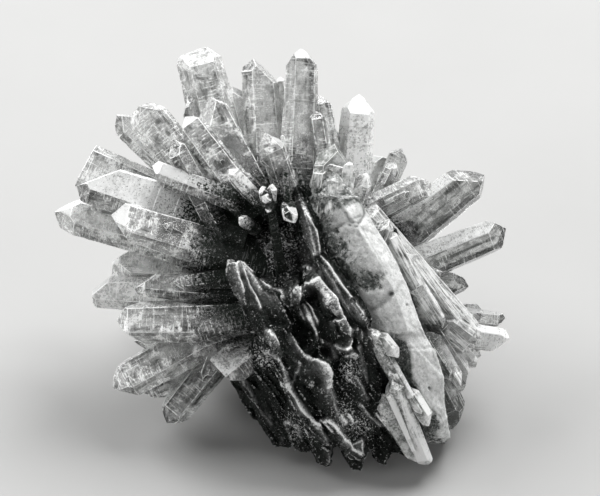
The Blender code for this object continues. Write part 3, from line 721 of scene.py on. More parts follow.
def unseen(spot, w):
    """The show-frame place that the eye sees at a spot, at the depth w."""
    share = (EYE_DISTANCE - w) / EYE_DISTANCE
    middle = Vector(FRAME_CENTRE)
    return Vector((*(middle + (Vector(spot) - middle) * share), w))


def line_distance(spots, line):
    """How far each spot is from a line of straight stretches: above 0 to the left of its run."""
    nearest = np.full(len(spots), np.inf)
    side = np.ones(len(spots))
    for start, end in zip(line, line[1:]):
        start = np.array(start)
        stretch = np.array(end) - start
        share = np.clip((spots - start) @ stretch / (stretch @ stretch), 0, 1)
        offset = spots - start - share[:, None] * stretch
        away = np.linalg.norm(offset, axis=1)
        closer = away < nearest
        nearest = np.where(closer, away, nearest)
        turned = stretch[0] * offset[:, 1] - stretch[1] * offset[:, 0]
        side = np.where(closer, np.sign(turned), side)
    return nearest * side


def blot(spots, middle, radius, power=2):
    """1 at a round blot's middle, falling to 0 beyond its radius, faster for a higher power."""
    away = np.linalg.norm(spots - np.array(middle), axis=1) / radius
    return np.exp(-(away**power))


def new_object(name, mesh, matrix=None):
    made = bpy.data.objects.new(name, mesh)
    if matrix is not None:
        made.matrix_world = matrix
    bpy.context.scene.collection.objects.link(made)
    return made


def mesh_from(bm, name):
    mesh = bpy.data.meshes.new(name)
    bm.to_mesh(mesh)
    bm.free()
    return mesh


def remove(objects):
    for obj in objects:
        mesh = obj.data
        bpy.data.objects.remove(obj)
        bpy.data.meshes.remove(mesh)


def evaluated_copy(obj, name):
    """The object's mesh with its modifiers applied, in world space."""
    bpy.context.view_layer.update()
    seen = obj.evaluated_get(bpy.context.evaluated_depsgraph_get())
    mesh = bpy.data.meshes.new_from_object(seen)
    mesh.transform(obj.matrix_world)
    mesh.name = name
    return mesh


def union(name, bodies):
    """One closed mesh, in world space, from closed bodies that overlap. The bodies are used up."""
    gathered = bpy.data.collections.new(name + "_bodies")
    bpy.context.scene.collection.children.link(gathered)
    first, *others = bodies
    for body in others:
        bpy.context.scene.collection.objects.unlink(body)
        gathered.objects.link(body)
    joining = first.modifiers.new("Union", "BOOLEAN")
    joining.operation = "UNION"
    joining.solver = "MANIFOLD"
    joining.operand_type = "COLLECTION"
    joining.collection = gathered
    mesh = evaluated_copy(first, name)
    remove(bodies)
    bpy.data.collections.remove(gathered)
    return mesh


def remeshed(mesh, grain):
    """The mesh rebuilt from voxels, grain millimetres across. The mesh is used up."""
    helper = new_object(mesh.name, mesh)
    rebuilding = helper.modifiers.new("Remesh", "REMESH")
    rebuilding.mode = "VOXEL"
    rebuilding.voxel_size = grain * MM
    rebuilding.adaptivity = 0.0
    made = evaluated_copy(helper, mesh.name)
    remove([helper])
    return made


def sliced(bm, point, normal, clear=True):
    """Cuts through a body, clears what lies beyond the cut if asked, and gives the open rim."""
    everything = bm.verts[:] + bm.edges[:] + bm.faces[:]
    bmesh.ops.bisect_plane(
        bm, geom=everything, plane_co=point, plane_no=normal, clear_outer=clear
    )
    return [edge for edge in bm.edges if edge.is_boundary]


def cut(bm, point, normal):
    """Cuts off what lies beyond a plane and closes the body with a flat face."""
    rim = sliced(bm, point, normal)
    if rim:
        bmesh.ops.edgeloop_fill(bm, edges=rim)


def trimmed(mesh):
    """The mesh cut off flat at the floor, and closed again. The mesh is used up."""
    name = mesh.name
    bm = bmesh.new()
    bm.from_mesh(mesh)
    bpy.data.meshes.remove(mesh)
    rim = sliced(bm, Vector(), (0, 0, -1))
    if rim:
        bmesh.ops.holes_fill(bm, edges=rim, sides=0)
    return mesh_from(bm, name)


def mesh_array(items, key, columns=3, kind=float):
    """A value of each of a mesh's vertices or edges, one to a row."""
    values = np.empty(len(items) * columns, dtype=kind)
    items.foreach_get(key, values)
    return values.reshape(-1, columns)


def mesh_parts(mesh):
    """The places and the normals of a mesh's vertices."""
    return mesh_array(mesh.vertices, "co"), mesh_array(mesh.vertices, "normal")


def mesh_edges(mesh):
    return mesh_array(mesh.edges, "vertices", 2, np.int64)


def set_points(mesh, points):
    mesh.vertices.foreach_set("co", points.ravel())
    mesh.update()


def move_out(mesh, points, normals, height):
    """Moves the vertices along their normals by heights in millimetres."""
    set_points(mesh, points + normals * (height * MM)[:, None])
    return mesh_parts(mesh)


def keep_values(mesh, name, values, least=0.0):
    """Keeps a value from least to 1 at every vertex, for the materials."""
    layer = mesh.attributes.new(name, "FLOAT", "POINT")
    layer.data.foreach_set("value", np.clip(values, least, 1).astype(np.float32))


# --- crystals ------------------------------------------------------------------------------------


def growth_frame(growth):
    """A growth's length in metres and its frame: Z along it, X towards the show side."""
    root, point, _, _, turn = growth
    root, point = to_world(root), to_world(point)
    along = (point - root).normalized()
    outward = SHOW_AXES.col[2].copy()
    outward = (outward - along * outward.dot(along)).normalized()
    axes = Matrix((outward, along.cross(outward), along)).transposed().to_4x4()
    turning = Matrix.Rotation(math.radians(turn), 4, "Z")
    return (point - root).length, Matrix.Translation(root) @ axes @ turning


def random_vector(draw, low, high):
    return Vector([draw.uniform(low, high) for _ in range(3)])


def random_shape(width, draw, flatness=ANY_FLATNESS):
    return width, draw.uniform(*flatness), draw.uniform(*ANY_TURN)


def side_directions():
    for side in range(SIDES):
        angle = side * math.tau / SIDES
        yield Vector((math.cos(angle), math.sin(angle), 0))


def cut_point(bm, tip, way, width, draw):
    """Cuts the end faces that meet near the tip; way is +1 for the upper end, -1 for the lower."""
    lean = Vector((draw.uniform(-1, 1), draw.uniform(-1, 1), 0)) * POINT_LEAN * width
    first = draw.randrange(2)
    for side, outward in enumerate(side_directions()):
        rise_range = SMALL_FACE_RISE if side % 2 == first else LARGE_FACE_RISE
        rise = Vector((0, 0, way * draw.uniform(*rise_range) * width))
        slope = Vector((0, 0, way * math.sin(END_FACE_TO_AXIS)))
        cut(bm, tip + lean + rise, outward * math.cos(END_FACE_TO_AXIS) + slope)


def mended(bm):
    """The body without edges of no length, its faces looking out."""
    bmesh.ops.dissolve_degenerate(bm, edges=bm.edges, dist=TINY)
    bmesh.ops.recalc_face_normals(bm, faces=bm.faces)
    return bm


def crystal_body(length, width, flatness, broken, two_points, draw):
    """A crystal along +Z, from the origin to its point, cut from a block by its faces."""
    bm = bmesh.new()
    sizes = (BLOCK_WIDTHS * width, BLOCK_WIDTHS * width, BLOCK_LENGTHS * length, 1)
    block = Matrix.Translation((0, 0, length / 2)) @ Matrix.Diagonal(sizes)
    bmesh.ops.create_cube(bm, size=1, matrix=block)
    cut(bm, Vector(), Vector((0, 0, -1)))
    for side, outward in enumerate(side_directions()):
        reach = width / 2 * draw.uniform(*FACE_SPREAD)
        if side % 3 == 0:
            reach *= flatness
        shoulder = outward * reach + Vector((0, 0, length - width / 2))
        cut(bm, shoulder, outward + Vector((0, 0, math.tan(TAPER))))
    cut_point(bm, Vector((0, 0, length)), 1, width, draw)
    if two_points:
        cut_point(bm, Vector(), -1, width, draw)
    if broken:
        slant = Vector((draw.uniform(-1, 1), draw.uniform(-1, 1), 1 / BREAK_SLANT))
        cut(bm, Vector((0, 0, length - broken * width)), slant)
    return mended(bm)


def paint_top_light(bm, frame, known, draw):
    """Marks each face's painted top light: a painted highlight that makes some of the faces that
    look up the show side white.
    """
    painted_top_light = bm.faces.layers.float.new("painted_top_light")
    for face in bm.faces:
        # the painted top light grows with how far a face looks up the show side
        upward = max(0.0, (frame.to_3x3() @ face.normal).dot(TOP_LIGHT_WAY))
        chance = 1.0 if draw.random() < TOP_LIT_SHARE else draw.uniform(*FAINT_TOP_LIGHT)
        strength = chance if known is None else known
        face[painted_top_light] = min(TOP_LIGHT_LIMIT, draw.uniform(*BARE_COAT) + upward**TOP_LIGHT_FALLOFF * strength)


def wear_edges(bm, width):
    """Bevels the edges and marks the narrow faces that this makes."""
    worn = bm.faces.layers.float.new("worn")
    made = bmesh.ops.bevel(
        bm,
        geom=bm.edges[:],
        offset=min(EDGE_WIDTH, EDGE_SHARE * width / MM) * MM,
        segments=1,
        profile=0.5,
        affect="EDGES",
        clamp_overlap=True,
    )
    for face in made["faces"]:
        face[worn] = 1.0


def grow_rings(bm, length, width, draw):
    """Cuts rings around the prism and lets each stand in or out a little."""
    heights = []
    height = RINGED_FROM * length
    while height < length - RINGED_TO * width:
        heights.append(height)
        if draw.random() < LEDGE_SHARE:
            heights.append(height + LEDGE_HEIGHT * MM)
        height += draw.uniform(*RING_SPACING) * MM
    if not heights:
        return
    steps = []
    for height in heights:
        sliced(bm, (0, 0, height), (0, 0, 1), clear=False)
        steps.append(draw.uniform(-1, 1) * RING_DEPTH * MM)
    for vert in bm.verts:
        nearest = min(range(len(heights)), key=lambda index: abs(heights[index] - vert.co.z))
        if abs(heights[nearest] - vert.co.z) < RING_TOLERANCE:
            flat = vert.co.to_2d()
            vert.co.x, vert.co.y = flat * (1 + steps[nearest] / max(flat.length, width / 4))


def note_places(bm, length, milk, draw):
    """Keeps, at every vertex, its place along its crystal and how milky the crystal is."""
    local = bm.verts.layers.float_vector.new("local")
    share = bm.verts.layers.float.new("share")
    milkiness = bm.verts.layers.float.new("milk")
    shift = random_vector(draw, 0, PATTERN_SHIFT)
    for vert in bm.verts:
        vert[local] = vert.co / MM + shift
        vert[share] = vert.co.z / length
        vert[milkiness] = milk


def crystal(name, growth, two_points=False, milk=None, rings=True):
    """A crystal with worn edges and growth rings, as an object of its own."""
    length, frame = growth_frame(growth)
    width = growth[2] * MM
    broken = BROKEN_POINTS.get(name, 0)
    bm = crystal_body(length, width, growth[3], broken, two_points, random.Random(name))
    draw = random.Random(name + " detail")
    if milk is None:
        milk = MILK.get(name, USUAL_MILK) + draw.uniform(*MILK_JITTER)
    paint_top_light(bm, frame, TOP_LIGHT_STRENGTHS.get(name), draw)
    wear_edges(bm, width)
    if rings:
        grow_rings(bm, length, width, draw)
    note_places(bm, length, milk, draw)
    return new_object(name, mesh_from(bm, name), frame)


def small_crystals(table):
    """The crystals of a table that gives each one's milkiness, without growth rings."""
    return [crystal(name, growth, True, milk, False) for name, (milk, growth) in table.items()]


def spread_directions(count, draw):
    """Unit vectors spread over the whole ball by the golden angle, and then jittered."""
    golden = math.pi * (3 - math.sqrt(5))
    for index in range(count):
        z = 1 - 2 * (index + 0.5) / count
        ring = math.sqrt(1 - z * z)
        turn = index * golden
        way = Vector((ring * math.cos(turn), ring * math.sin(turn), z))
        yield (way + random_vector(draw, -SPREAD_JITTER, SPREAD_JITTER)).normalized()


def far_growths():
    """The far side's crystals, as pairs of a name and a growth."""
    for label, (count, hub, lengths, widths, reach) in FAR_SETS.items():
        hub = Vector(hub)
        height = to_world(hub).z / MM - FLOOR_CLEARANCE
        draw = random.Random(label)
        for index, way in enumerate(spread_directions(count, draw)):
            rise = way.dot(SHOW_AXES.row[2])
            if way.z > FAR_EDGE or rise < LOWEST_SLOPE:
                continue
            length = min(draw.uniform(*lengths), reach / math.hypot(way.x, way.y))
            if rise < 0:
                length = min(length, -height / rise)
            shape = random_shape(draw.uniform(*widths) * length / lengths[1], draw)
            yield f"{label}_{index:03d}", (hub + way * ROOT_DEPTH, hub + way * length, *shape)


def rider_growths(name, growth):
    """The riders of one crystal, as pairs of a name and a growth."""
    root, point, width, flatness, _ = growth
    root, point = Vector(root), Vector(point)
    axis = point - root
    length = axis.length
    axis.normalize()
    draw = random.Random(name + " riders")
    if length < HOST_LENGTH or width < HOST_WIDTH:
        return
    for index in range(draw.randint(*RIDERS_EACH)):
        side = axis.orthogonal().normalized()
        side = Matrix.Rotation(draw.uniform(0, math.tau), 3, axis) @ side
        start = root + axis * length * draw.uniform(*RIDER_PLACES)
        start += side * width * RIDER_DEPTH * flatness
        size = draw.uniform(*RIDER_WIDTHS) * width
        way = (axis + side * draw.uniform(*RIDER_SLANTS)).normalized()
        reach = min(draw.uniform(*RIDER_LENGTHS), RIDER_REACH * length)
        yield f"{name}_rider_{index}", (start, start + way * reach, *random_shape(size, draw))


def keep_dusk(mesh):
    """Keeps how deep in the dark heart each vertex lies: 1 near the middle, 0 well outside."""
    offset = to_show(mesh_parts(mesh)[0]) - np.array(DUSK_MIDDLE)
    away = np.linalg.norm(offset / np.array(DUSK_REACH), axis=1)
    keep_values(mesh, "dusk", (1.0 - away) / (1.0 - DUSK_CORE))


def clear_growths():
    """Every clear crystal but the riders, by its name."""
    growths = {**CRYSTALS, **dict(far_growths())}
    for name in SMALL_HEART_CRYSTALS + KNOBBED:
        del growths[name]
    return growths


def make_clear_crystals():
    growths = clear_growths()
    for name, growth in list(growths.items()):
        growths.update(rider_growths(name, growth))
    bodies = [crystal(name, growth) for name, growth in growths.items()]
    mesh = trimmed(union("clear_crystals", bodies + small_crystals(EXTRAS)))
    keep_dusk(mesh)
    return mesh


# --- the heart -----------------------------------------------------------------------------------


def lump(name):
    """A lump of the heart, cut from a block by its broken faces."""
    middle, radii = LUMPS[name]
    draw = random.Random(name)
    bm = bmesh.new()
    bmesh.ops.create_cube(bm, size=LUMP_BLOCK)
    for way in spread_directions(LUMP_FACES, draw):
        cut(bm, way * draw.uniform(*LUMP_DEPTH), way)
    bmesh.ops.scale(bm, vec=Vector(radii) * MM, verts=bm.verts)
    frame = Matrix.Translation(to_world(middle)) @ SHOW_AXES.to_4x4()
    return new_object(name, mesh_from(mended(bm), name), frame)


def blade(name, growth):
    """A plain blade with a point at each end."""
    length, frame = growth_frame(growth)
    bm = crystal_body(length, growth[2] * MM, growth[3], 0, True, random.Random(name))
    return new_object(name, mesh_from(bm, name), frame)


def core(name, growth):
    """The dark root inside a crystal."""
    length, frame = growth_frame(growth)
    draw = random.Random(name + " core")
    length *= draw.uniform(*CORE_SHARE)
    bm = crystal_body(length, CORE_WIDTH * growth[2] * MM, growth[3], 0, False, draw)
    return new_object(name + "_core", mesh_from(bm, name), frame)


def smoothed(values, ends, rounds):
    """Rows of values at the vertices, each averaged with its neighbours' a number of times."""
    count = np.maximum(np.bincount(ends.ravel(), minlength=len(values)).astype(float), 1)
    for _ in range(rounds):
        total = np.empty_like(values)
        for axis in range(values.shape[1]):
            into_first = np.bincount(ends[:, 0], values[ends[:, 1], axis], len(values))
            into_second = np.bincount(ends[:, 1], values[ends[:, 0], axis], len(values))
            total[:, axis] = into_first + into_second
        values = 0.5 * values + 0.5 * total / count[:, None]
    return values


def keep_crests(mesh, points, normals, ends, kinds):
    """Keeps how far each vertex stands out from its surroundings, from -1 to 1."""
    crest = 0
    for share, rounds, full in kinds:
        above = ((points - smoothed(points, ends, rounds)) * normals).sum(axis=1)
        crest = crest + share * (above / MM / full)
    keep_values(mesh, "crest", crest, -1)


def climb(values, start, run):
    """0 up to the start, and then up to 1 over the run."""
    return np.clip((values - start) / run, 0, 1)


def facing_share(places, normals):
    """1 where the surface looks out of the show side, falling to 0 where it turns away."""
    gain, offset = FACING
    facing = np.clip(normals @ np.array(SHOW_AXES.col[2]) * gain + offset, 0, 1)
    return facing * climb(places[:, 2], FRONT_FROM, FRONT_RUN)


def along_blades(places):
    """Show-frame places as columns measured along, across and out of the blades."""
    across = Vector((0, 0, 1)).cross(BLADE_WAY).normalized()
    return (places @ np.array((BLADE_WAY, across, BLADE_WAY.cross(across))).T).T


def relief(places, height, size, stretch, shift, look):
    """A pattern's heights at the places, drawn out along the blades."""
    along, across, out = along_blades(places)
    rows = zip(along / stretch, across, out)
    return height * np.array([look(Vector(row) / size + shift) for row in rows])


def shingles(places, height, size, stretch, seed):
    """Slanted, stepped facets: each cell of a random pattern is tilted its own way."""

    def look(place):
        middle = noise.voronoi(place)[1][0]
        tilt = noise.cell_vector(middle * 7.31)
        return (place - middle).dot(tilt) + 0.5 * noise.cell(middle * 3.7)

    shift = Vector((seed * 17.3, seed * 5.1, -seed * 9.7))
    return relief(places, height, size, stretch, shift, look)


def grain(places, height, size, stretch, seed):
    """Ragged ridges that run along the blades."""

    def look(place):
        return noise.fractal(place, 1.0, 2.1, 3)

    shift = Vector((seed * 3.3, -seed * 7.9, seed * 11.7))
    return relief(places, height, size, stretch, shift, look)


def slivers(places, height, period, wave, seed):
    """Thin blades side by side, each of which climbs across its width and then drops."""
    shift = Vector((seed * 3.7, seed * 1.3, seed * 7.1))
    heights = []
    for along, across, out in zip(*along_blades(places)):
        sizes = zip((along, across, out), SLIVER_SIZES)
        place = Vector([part / size for part, size in sizes]) + shift
        run = (across + 0.5 * out) / period + wave * noise.noise(place)
        number = math.floor(run)
        uneven = 5 * noise.cell(Vector((number, seed, 0)))
        step = math.floor(along / (SLIVER_STEP * period) + uneven)
        size = noise.cell(Vector((number, step, seed)))
        heights.append((run - number) * (0.35 + 0.65 * abs(size)) + 0.3 * size)
    return height * np.array(heights)


def raise_crests(seen, front, uneven):
    """The rise and the frost of the crests: each climbs slowly to its line and then drops."""
    rise = np.zeros(len(seen))
    frost = np.zeros(len(seen))
    gap_place, gap_width, gap_depth = CREST_GAP
    for half_width, height, whiteness, path in CRESTS.values():
        away = line_distance(seen, path) / half_width / uneven
        before, beyond = away <= 0, away > 0
        rising = np.exp(np.minimum(away, 0) / CREST_CLIMB) * before
        drop = np.exp(-((away / CREST_DROP) ** 2)) * beyond
        gap = np.exp(-(((away - gap_place) / gap_width) ** 2)) * beyond
        rise += front * height * (rising + drop - gap_depth * gap)
        white = FROST_FACE * np.exp(np.minimum(away, 0) / FROST_CLIMB) * before
        line = np.exp(-((away * half_width / CREST_LINE) ** 2))
        frost = np.maximum(frost, front * whiteness * np.maximum(white, line))
    return rise, frost


def carve_heart(mesh):
    """Roughens a part of the heart, and raises the frosted crests on its show side."""
    (points, normals), ends = mesh_parts(mesh), mesh_edges(mesh)
    places = to_show(points)
    front = facing_share(places, normals)
    ragged = grain(places, *RAGGED)
    rough = shingles(places, *ROUGH_FACETS) + shingles(places, *ROUGH_CHIPS)
    rough = rough + RAGGED_SHARES[0] * ragged - ROUGH_SINK
    calm = slivers(places, *SLIVERS) + shingles(places, *CALM_CHIPS)
    calm = calm + RAGGED_SHARES[1] * ragged - CALM_SINK
    bent = as_seen(places) + CREST_WANDER * np.stack((ragged, -ragged), axis=1)
    share, unevenness = CREST_UNEVENNESS
    uneven = 1 + share * np.clip(grain(places, *unevenness), -1, 1)
    rise, frost = raise_crests(bent, front, uneven)
    for middle, radius in SMOOTH_SPOTS:
        calm = calm * (1 - SMOOTH_SHARE * blot(bent, middle, radius, 4))
    height = rough * (1 - CALM_SHARE * front) + calm * front + rise
    for middle, radius, depth in HOLLOWS:
        height -= front * depth * blot(bent, middle, radius)
    height += (FINE_HEIGHTS[0] + FINE_HEIGHTS[1] * front) * grain(places, *HEART_FINE)
    points, normals = move_out(mesh, points, normals, height)
    keep_crests(mesh, points, normals, ends, HEART_HEIGHTS)
    keep_values(mesh, "frost", frost)
    druse_glitter = np.zeros(len(points))
    for middle, radius in DRUSE_GLITTER:
        druse_glitter = np.maximum(druse_glitter, front * blot(bent, middle, radius))
    keep_values(mesh, "druse_glitter", DRUSE_GLITTER_STRENGTH * druse_glitter)
    return trimmed(mesh)


def make_heart():
    """The lumps of the heart and the dark roots that reach from them into the crystals."""
    bodies = [lump(name) for name in LUMPS]
    bodies += [core(name, growth) for name, growth in clear_growths().items()]
    return carve_heart(remeshed(union("chlorite_heart", bodies), HEART_GRAIN))


def make_dark_blades():
    """The dark ridged blades that cover the heart's show side."""
    bodies = [lump(name) for name in SHOWN_LUMPS]
    bodies += [crystal(name, CRYSTALS[name], rings=False) for name in SMALL_HEART_CRYSTALS]
    bodies += [blade(name, growth) for name, growth in BLADES.items()]
    return carve_heart(remeshed(union("dark_blades", bodies), BLADE_GRAIN))


# --- the trunk, the ribs and the arrow -----------------------------------------------------------


def trunk_outline(v, sides, depths):
    """The trunk's outline at one station, as evenly many places on each of its sides."""
    left, ridge, right = sides
    low_left, top, low_right = depths
    corners = (
        (left, low_left - TRUNK_DEPTH),
        (left, low_left),
        ((left + ridge) / 2, low_left + TRUNK_BULGE * (top - low_left)),
        (ridge, top),
        ((ridge + right) / 2, low_right + TRUNK_BULGE * (top - low_right)),
        (right, low_right),
        (right, low_right - TRUNK_DEPTH),
    )
    corners = np.array([(u, v, w) for u, w in corners])[:, None, :]
    parts = (np.arange(TRUNK_PARTS) / TRUNK_PARTS)[None, :, None]
    return (corners + parts * (np.roll(corners, -1, 0) - corners)).reshape(-1, 3)


def trunk_body():
    """The trunk as a loft through its stations, with a sharp ridge down its show side."""
    outlines = [trunk_outline(*station) for station in TRUNK_STATIONS]
    rings = []
    for upper, lower in zip(outlines, outlines[1:]):
        steps = max(1, round((upper[0, 1] - lower[0, 1]) / TRUNK_GRAIN))
        rings += [upper + (lower - upper) * step / steps for step in range(steps)]
    rings.append(outlines[-1])
    bm = bmesh.new()
    rings = [[bm.verts.new(to_world(unseen((u, v), w))) for u, v, w in ring] for ring in rings]
    for upper, lower in zip(rings, rings[1:]):
        for index in range(len(upper)):
            after = (index + 1) % len(upper)
            bm.faces.new((upper[index], upper[after], lower[after], lower[index]))
    bm.faces.new(rings[0])
    bm.faces.new(rings[-1])
    bmesh.ops.recalc_face_normals(bm, faces=bm.faces)
    return mesh_from(bm, "milky_trunk")


def carve_seams(seen, front):
    """The rise that the seams make, and how dark each place is made by them."""
    rise = np.zeros(len(seen))
    mark = np.zeros(len(seen))
    for half_width, height, strength, line in SEAMS.values():
        away = np.abs(line_distance(seen, line)) / half_width
        rise += front * height * np.exp(-SEAM_FALL * away)
        mark = np.maximum(mark, front * strength * np.exp(-(away**2)))
    return rise, mark


def trunk_shade(seen, places):
    """How dark the SHADES make each place."""
    shade = np.zeros(len(seen))
    waves = [grain(places, *wave) for wave in SHADE_WAVES]
    bent = seen + SHADE_WANDER * np.stack(waves, axis=1)
    for middle, half_lengths, turn, darkness in SHADES:
        turn = math.radians(turn)
        away = bent - np.array(middle)
        along = away @ np.array((math.cos(turn), math.sin(turn))) / half_lengths[0]
        across = away @ np.array((-math.sin(turn), math.cos(turn))) / half_lengths[1]
        fading = np.exp(-((along**2 + across**2) ** SHADE_FALL))
        shade = np.maximum(shade, darkness * fading)
    return shade


def trunk_dark_and_shade(seen, front):
    """How dark each place is made: to the left of the ridge, and by painted shade on the far sides
    and at the top.
    """
    ridge = [(sides[1], v) for v, sides, _ in TRUNK_STATIONS]
    leftward = -line_distance(seen, ridge) + LEFT_DARK_START
    height = seen[:, 1]
    spread = np.interp(height, LEFT_DARK_HEIGHTS, LEFT_DARK_SPREADS)
    murk_and_shade = np.clip(leftward / spread, 0, 1) * np.interp(height, LEFT_DARK_HEIGHTS, LEFT_DARK_STRENGTHS)
    murk_and_shade = np.maximum(murk_and_shade, HIDDEN_SHADE * (1 - front))
    strength, start, run = TOP_SHADE
    return np.maximum(murk_and_shade, strength * climb(height, start, run))


def make_trunk():
    mesh = trunk_body()
    (points, normals), ends = mesh_parts(mesh), mesh_edges(mesh)
    places = to_show(points)
    seen = as_seen(places)
    front = facing_share(places, normals)
    height = shingles(places, *TRUNK_FACETS) + grain(places, *TRUNK_WAVES)
    height += grain(places, *TRUNK_FINE)
    rise, seam = carve_seams(seen + SEAM_WANDER * height[:, None], front)
    shade = trunk_shade(seen, places)
    pit = np.zeros(len(points))
    for middle, radius, darkness in PITS:
        pit = np.maximum(pit, front * darkness * blot(seen, middle, radius, 4))
    height += SEAM_SHARES[0] * rise - PIT_DEPTH * pit + TRUNK_SWELL
    height += shade * (shingles(places, *SHADE_FACETS) - SHADE_SINK)
    strength, start, run = TOP_ROUGHNESS
    height += strength * climb(seen[:, 1], start, run) * grain(places, *TOP_GRAIN)
    points, normals = move_out(mesh, points, normals, height)
    keep_crests(mesh, points, normals, ends, TRUNK_HEIGHTS)
    clearness = LENS_CLEARNESS * blot(seen, LENS_MIDDLE, LENS_RADIUS, 4)
    keep_values(mesh, "murk_and_shade", np.maximum(trunk_dark_and_shade(seen, front), shade) * (1 - clearness))
    keep_values(mesh, "pit", np.maximum(pit, SEAM_SHARES[1] * seam))
    return mesh


def fan_ribs():
    """The thin ribs between the trunk and the ribbed plate."""
    draw = random.Random("fan")
    for index in range(FAN_COUNT):
        share = (index + draw.uniform(-FAN_JITTER, FAN_JITTER)) / (FAN_COUNT - 1)
        root = FAN_ROOTS[0].lerp(FAN_ROOTS[1], share)
        point = FAN_POINTS[0].lerp(FAN_POINTS[1], share)
        point += (root - point) * draw.uniform(0, FAN_SHORTER[0])
        root += (point - root) * draw.uniform(0, FAN_SHORTER[1])
        shape = random_shape(draw.uniform(*FAN_WIDTHS), draw, FAN_FLATNESS)
        milk = draw.uniform(*FAN_MILK)
        yield crystal(f"fan_{index:02d}", (root, point, *shape), True, milk)


def make_ribs():
    bodies = [crystal(name, growth, True, RIB_MILK) for name, growth in RIBS.items()]
    bodies += fan_ribs()
    bodies += [crystal(name, growth, True, milk) for name, (milk, growth) in LOBES.items()]
    mesh = union("milky_ribs", bodies)
    seen = as_seen(to_show(mesh_parts(mesh)[0]))
    before, run = PALE_RUN
    pale = np.clip((line_distance(seen, TRUNK_EDGE) + before) / run, EDGE_PALENESS, 1)
    for middle, radius in RIB_POCKETS:
        pale -= blot(seen, middle, radius)
    keep_values(mesh, "pale", pale)
    return mesh


def make_arrow():
    return union("milky_arrow", small_crystals(ARROW_LOBES))


def make_flecks():
    draw = random.Random("flecks")
    first, run, crowding = FLECK_RANGE
    points = []
    for growth in {**CRYSTALS, **dict(far_growths())}.values():
        width, flatness = growth[2:4]
        length, frame = growth_frame(growth)
        for _ in range(int(FLECKS_EACH * width / FLECKED_WIDTH)):
            share = first + run * draw.random() ** crowding
            turned = draw.uniform(0, math.tau)
            reach = FLECK_REACH * width * MM * math.sqrt(draw.random())
            across = (math.cos(turned) * reach * flatness, math.sin(turned) * reach)
            middle = Vector((*across, share * length))
            spin = Vector([draw.gauss(0, 1) for _ in range(3)]).normalized()
            turning = Matrix.Rotation(draw.uniform(0, math.tau), 3, spin)
            size = draw.uniform(*FLECK_SIZES) * MM
            sizes = Vector((size, size * draw.uniform(*FLECK_WIDTHS), size * FLECK_THICKNESS))
            for corner in OCTAHEDRON:
                points.append(frame @ (middle + turning @ (Vector(corner) * sizes)))
    corners = len(OCTAHEDRON)
    starts = corners * np.arange(len(points) // corners)
    faces = (OCTAHEDRON_FACES[None] + starts[:, None, None]).reshape(-1, 3)
    mesh = bpy.data.meshes.new("chlorite_flecks")
    mesh.from_pydata([tuple(point) for point in points], [], faces.tolist())
    mesh.update()
    return mesh


# --- materials -----------------------------------------------------------------------------------

# Colours, as linear red, green, blue and alpha.
CLEAR_DARK = (0.14, 0.145, 0.14, 1)
CLEAR_PALE = (0.86, 0.865, 0.858, 1)
MILK_WHITE = (0.975, 0.98, 0.973, 1)
PAINTED_SHADE_COLOUR = (0.07, 0.075, 0.07, 1)
TOP_LIGHT_GREY = (0.56, 0.565, 0.56, 1)
TOP_LIGHT_PALE = (0.74, 0.745, 0.74, 1)
TOP_LIGHT_WHITE = (0.9, 0.905, 0.898, 1)
DUST_BLACK = (0.003, 0.004, 0.003, 1)
DUST_DARK = (0.018, 0.023, 0.019, 1)
PAINTED_GLINT = (0.8, 0.81, 0.805, 1)
ABSORBED = (0.62, 0.63, 0.62, 1)
CHLORITE_BLACK = (0.001, 0.002, 0.001, 1)
CHLORITE_DARK = (0.009, 0.012, 0.01, 1)
FROST_GREY = (0.75, 0.755, 0.75, 1)
FROST_WHITE = (0.96, 0.965, 0.96, 1)
RIB_DARK = (0.07, 0.076, 0.07, 1)
RIB_WHITE = (0.82, 0.825, 0.818, 1)
RIB_SPECK = (0.02, 0.026, 0.022, 1)
TRUNK_MURK_SHADE = (0.13, 0.14, 0.132, 1)
TRUNK_PAINTED_GLINT = (0.6, 0.61, 0.6, 1)
CHALK_GREY = (0.66, 0.668, 0.66, 1)
CHALK_WHITE = (0.9, 0.908, 0.9, 1)
TRUNK_SPECK = (0.025, 0.032, 0.028, 1)
ARROW_GREY = (0.3, 0.315, 0.3, 1)
ARROW_WHITE = (0.93, 0.935, 0.928, 1)
ARROW_SPECK = (0.04, 0.048, 0.042, 1)
FLECK_DARK = (0.015, 0.02, 0.017, 1)
FLECK_GREEN = (0.08, 0.1, 0.085, 1)
FLOOR_GREY = (0.37, 0.37, 0.366, 1)
FLOOR_PALE = (0.4, 0.4, 0.396, 1)

QUARTZ_IOR = 1.544
CHLORITE_IOR = 1.55
ABSORPTION = 120.0  # per metre
SUBSURFACE_SCALE = 0.0012


class Field:
    """What a node gives: a number, colour or place over the surface, which can be reckoned with."""

    def __init__(self, recipe, socket):
        self.recipe = recipe
        self.socket = socket

    def __add__(self, other):
        return self.recipe.math("ADD", self, other)

    def __sub__(self, other):
        return self.recipe.math("SUBTRACT", self, other)

    def __rsub__(self, other):
        return self.recipe.math("SUBTRACT", other, self)

    def __mul__(self, other):
        return self.recipe.math("MULTIPLY", self, other)

    def most(self, other):
        """The larger of the two."""
        return self.recipe.math("MAXIMUM", self, other)

    def clamped(self):
        """The result of a sum, kept from 0 to 1."""
        self.socket.node.use_clamp = True
        return self

    def span(self, low, high, to_low=0.0, to_high=1.0):
        """Its smooth place between low and high, as one between to_low and to_high."""
        sockets = {"From Min": low, "From Max": high, "To Min": to_low, "To Max": to_high}
        settings = {"interpolation_type": "SMOOTHSTEP"}
        return self.recipe.node("MapRange", "Result", {"Value": self, **sockets}, **settings)


